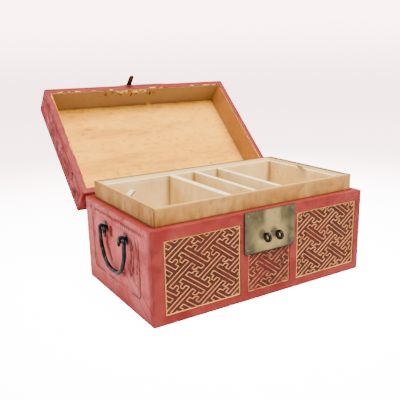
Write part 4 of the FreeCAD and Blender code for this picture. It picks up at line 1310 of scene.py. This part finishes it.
def plate_marks(place, normal):
    """Rubbed bright round the staples, dark at the edges and down the left, with a painted shadow above
    each staple.
    """
    middle_x = (PLATE_LOW.x + PLATE_HIGH.x) / 2
    eye_z = (STAPLE_LOW.z + STAPLE_HIGH.z) / 2
    reach = math.hypot((place.x - middle_x) / 24.0, (place.z - eye_z + 1.0) / 20.0)
    rubbed = (1 - ramp(reach, 0.55, 1.15)) * (0.75 + 0.5 * ripple(place, 8.0, 92.0))
    column = ramp(13.0 - abs(place.x - middle_x - 3.0), 0.0, 6.0) * ramp(place.z, eye_z, eye_z + 8.0)
    rubbed = max(rubbed, 0.85 * column)
    corner_x = (PLATE_HIGH.x - PLATE_LOW.x) / 2 - abs(place.x - middle_x)
    corner_z = min(place.z - PLATE_LOW.z, PLATE_HIGH.z - place.z)
    reach = 6.0 + 2 * ripple(place, 5.0, 93.0)
    corner = 1 - ramp(math.hypot(corner_x - 4.0, corner_z - 4.0), 2.0, reach)
    # painted shadows of the two staples on the plate
    staple_shadow = 0.0
    for x in (middle_x - 11.0, middle_x + 5.0):
        staple_shadow = max(staple_shadow, 1 - ramp(math.hypot(place.x - x, (place.z - eye_z - 3.0) * 0.8), 3.0, 6.0))
    rim = 1 - ramp(min(corner_x, corner_z), 0.0, 0.9)
    left_band = 0.5 * (1 - ramp(place.x - PLATE_LOW.x, 3.0, 12.0 + 5.0 * ripple(place, 14.0, 97.0)))
    edge = 0.95 * ramp(abs(normal.x) + abs(normal.z), 0.35, 0.7)
    return rubbed, max(0.6 * corner, 0.75 * staple_shadow, 0.55 * rim, left_band, edge), 0.0


def lid_plate_marks(place, normal):
    """The lid's plate is rubbed in the middle and dark along its low edge and in patches."""
    reach = math.hypot(place.x / 28.0, (place.z - PLATE_HIGH.z - 14.0) / 12.0)
    edge = 1 - ramp(place.z - PLATE_HIGH.z, 0.6, 2.4)
    return 1 - ramp(reach, 0.4, 1.1), max(edge, 0.6 * patch(place, 7.0, 94.0, 0.3, 0.6)), 0.0


def rubbed_marks(place, normal):
    """Metal rubbed a little brighter in places."""
    return 0.5 * patch(place, 4.0, 95.0, 0.1, 0.5), 0.0, 0.0


def black_marks(place, normal):
    """Metal that is nearly black all over."""
    return 0.0, 0.35 + 0.4 * ripple(place, 3.0, 98.0), 0.0


def make_lock():
    """Plates, staples and tongue."""
    dressed("body_lock_plate", "plate_brass", 0.22, 1.6, plate_bulge, plate_marks)
    dressed("lid_lock_plate", "plate_brass", 0.22, 2.5, plate_bulge, lid_plate_marks)
    dressed("lock_staples", "dark_bronze", 0.75, None, None, black_marks, 4)
    dressed("hasp_tongue", "dark_bronze", 0.35, None, None, black_marks, 3)
    make_nail_stump()


STUMP_R, STUMP_SUNK, STUMP_LONG = 0.97, 0.75, 0.24


def make_nail_stump():
    """The broken end of a lost nail, sunk in its hole between the staples."""
    front = Vector((NAIL_HOLE[0], PLATE_LOW.y + STUMP_SUNK, NAIL_HOLE[1]))
    path = [front + Vector((0, STUMP_LONG * share, 0)) for share in (0, 0.5, 1)]
    stump = tube(bmesh.new(), path, lambda share: STUMP_R)
    keep(stump, "lost_nail_stump", "case", "dark_bronze", (), black_marks)


# half of a bail's line as (along Y, up) from its pivot, and the bend at each inner point
BAIL_HALF = ((18.3, -9.0), (19.6, 0.0), (31.8, 0.0), (30.6, -19.0), (19.0, -40.4), (0.0, -42.0))
BAIL_BENDS = (3.4, 3.6, 24.0, 20.0, 60.0, 20.0, 24.0, 3.6, 3.4)
BAIL_STEP = 0.9
TIP_R, LEG_SWELL, BELLY_SWELL = 1.45, 0.7, 0.15


def bent_line(points, bends):
    """Places along straight runs joined by tangent arcs."""
    places = [points[0]]
    for before, corner, after, size in zip(points, points[1:], points[2:], bends):
        inward, outward = (before - corner).normalized(), (after - corner).normalized()
        half = inward.angle(outward) / 2
        back = size / math.tan(half)
        centre = corner + (inward + outward).normalized() * (size / math.sin(half))
        enter, leave = corner + inward * back, corner + outward * back
        count = max(3, int((math.pi - 2 * half) * size / BAIL_STEP))
        first, last = (enter - centre).normalized(), (leave - centre).normalized()
        for step in range(count + 1):
            places.append(centre + first.slerp(last, step / count) * size)
    places.append(points[-1])
    evened = [places[0]]
    for place in places[1:]:
        gap = (place - evened[-1]).length
        if gap < 0.2:
            continue
        count = int(gap / 2.0)
        start = evened[-1]
        evened += [start.lerp(place, k / (count + 1)) for k in range(1, count + 2)]
    return evened


def make_bail(name):
    """A drop handle, fuller at the bottom, with tapered ends hooked through the eyes."""
    pivot = Vector(JOINTS[name + "_swing"]["pos_m"]) / MM
    outline = list(BAIL_HALF) + [(-y, z) for y, z in reversed(BAIL_HALF[:-1])]
    points = [pivot + Vector((0, y, z)) for y, z in outline]
    path = bent_line(points, BAIL_BENDS)

    def radius_at(share):
        end = min(share, 1 - share)
        return TIP_R + LEG_SWELL * ramp(end, 0.0, 0.045) + BELLY_SWELL * ramp(end, 0.16, 0.3)

    bm = tube(bmesh.new(), path, radius_at)
    push(bm, lambda place, normal: -0.03 + 0.06 * ripple(place, 3.0, 96.0))
    keep(bm, name + "_bar", name, "dark_bronze", [name], rubbed_marks, 60.0)


def make_hardware():
    """Handles and hinges."""
    dressed("handle_eyes", "dark_bronze", 0.55, None, None, rubbed_marks, 4)
    dressed("handle_washers", "dark_bronze", 0.4, None, None, rubbed_marks, 3)
    for name in ("left_bail", "right_bail"):
        make_bail(name)
    for node in ("body_hinge_leaves", "lid_hinge_leaves"):
        dressed(node, "hinge_brass", 0.2, 4.0, plate_bulge, rubbed_marks)


# ---------------------------------------------------------------- camera, floor and light
def make_camera():
    """The camera at the picture's viewing angle."""
    yaw, pitch, roll = (math.radians(a) for a in (CAMERA_YAW, CAMERA_PITCH, CAMERA_ROLL))
    right = Vector((math.cos(yaw), -math.sin(yaw), 0))
    ahead = Vector((math.sin(yaw) * math.cos(pitch), math.cos(yaw) * math.cos(pitch), -math.sin(pitch)))
    down = ahead.cross(right)
    across = math.cos(roll) * right - math.sin(roll) * down
    below = math.sin(roll) * right + math.cos(roll) * down
    data = bpy.data.cameras.new("camera")
    data.lens, data.sensor_width = CAMERA_LENS, SENSOR
    camera = bpy.data.objects.new("camera", data)
    bpy.context.scene.collection.objects.link(camera)
    turn = Matrix((across, -below, -ahead)).transposed().to_4x4()
    camera.matrix_world = Matrix.Translation(Vector(CAMERA_PLACE) * MM) @ turn
    bpy.context.scene.camera = camera


def make_floor():
    """A round pale floor that bends up into a wall all round."""
    profile = [(0.0, 0.0), (FLOOR_R * 0.5, 0.0), (FLOOR_R, 0.0)]
    for step in range(1, 13):
        turn = step * math.pi / 24
        profile.append((FLOOR_R + FLOOR_BEND * math.sin(turn), FLOOR_BEND * (1 - math.cos(turn))))
    profile.append((FLOOR_R + FLOOR_BEND, FLOOR_BEND + FLOOR_RISE))
    bm = bmesh.new()
    sides = 96
    hub = bm.verts.new((0, 0, 0))
    rings = [[bm.verts.new((r * math.cos(t), r * math.sin(t), z))
              for t in (2 * math.pi * k / sides for k in range(sides))] for r, z in profile[1:]]
    for k in range(sides):
        bm.faces.new((hub, rings[0][k], rings[0][(k + 1) % sides]))
        for here, after in zip(rings, rings[1:]):
            bm.faces.new((here[k], after[k], after[(k + 1) % sides], here[(k + 1) % sides]))
    mesh = bpy.data.meshes.new("floor")
    bm.to_mesh(mesh)
    bm.free()
    mesh.transform(Matrix.Translation((0, 0, -FLOOR_DROP * MM)) @ Matrix.Scale(MM, 4))
    mesh.shade_smooth()
    mesh.materials.append(floor_look())
    floor = bpy.data.objects.new("floor", mesh)
    bpy.context.scene.collection.objects.link(floor)


def floor_look():
    """Matt white that the camera sees overexposed, as a studio sweep is, and that lights plainly."""
    look = Look("pale_floor")
    away = look.add("ShaderNodeVectorMath", {0: look.place}, operation="LENGTH").outputs["Value"]
    near, far = (distance * MM for distance in FLOOR_FADE)
    height = look.add("ShaderNodeSeparateXYZ", {0: look.place}).outputs["Z"]
    glow = look.times(look.spread(away, near, far, FLOOR_GLOW_NEAR, FLOOR_GLOW_FAR),
                      look.spread(height, 0.0, WALL_RISE * MM, 1.0, WALL_GLOW))
    strength = look.times(glow, look.add("ShaderNodeLightPath").outputs["Is Camera Ray"])
    tint = look.blend(look.spread(away, near, far), tone(1.0, 1.0, 1.0), tone(1.0, 0.64, 0.65))
    shader = look.add("ShaderNodeBsdfPrincipled", {
        "Base Color": tone(0.60, 0.58, 0.58), "Roughness": 0.9, "Specular IOR Level": 0.1,
        "Emission Color": tint, "Emission Strength": strength})
    look.add("ShaderNodeOutputMaterial", {"Surface": shader.outputs[0]})
    return look.material


def make_lights():
    """An even pale sky and two large soft lamps."""
    world = bpy.data.worlds.new("studio")
    world.use_nodes = True
    sky = world.node_tree.nodes["Background"]
    sky.inputs["Color"].default_value = (*WORLD_COLOUR, 1.0)
    sky.inputs["Strength"].default_value = WORLD_STRENGTH
    bpy.context.scene.world = world
    for name, (place, size, power) in (("top_lamp", TOP_LIGHT), ("side_lamp", SIDE_LIGHT)):
        data = bpy.data.lights.new(name, "AREA")
        data.size, data.energy = size * MM, power
        lamp = bpy.data.objects.new(name, data)
        lamp.location = Vector(place) * MM
        lamp.rotation_euler = Vector(place).to_track_quat("Z", "Y").to_euler()
        bpy.context.scene.collection.objects.link(lamp)


def main():
    """Everything that shows."""
    finish_kept_nodes()
    make_front_leather()
    make_side_leather()
    make_front_frets()
    make_top_frets()
    make_collar()
    make_tray()
    make_lid_lining()
    make_scraps()
    make_lock()
    make_hardware()
    make_camera()
    make_floor()
    make_lights()


main()
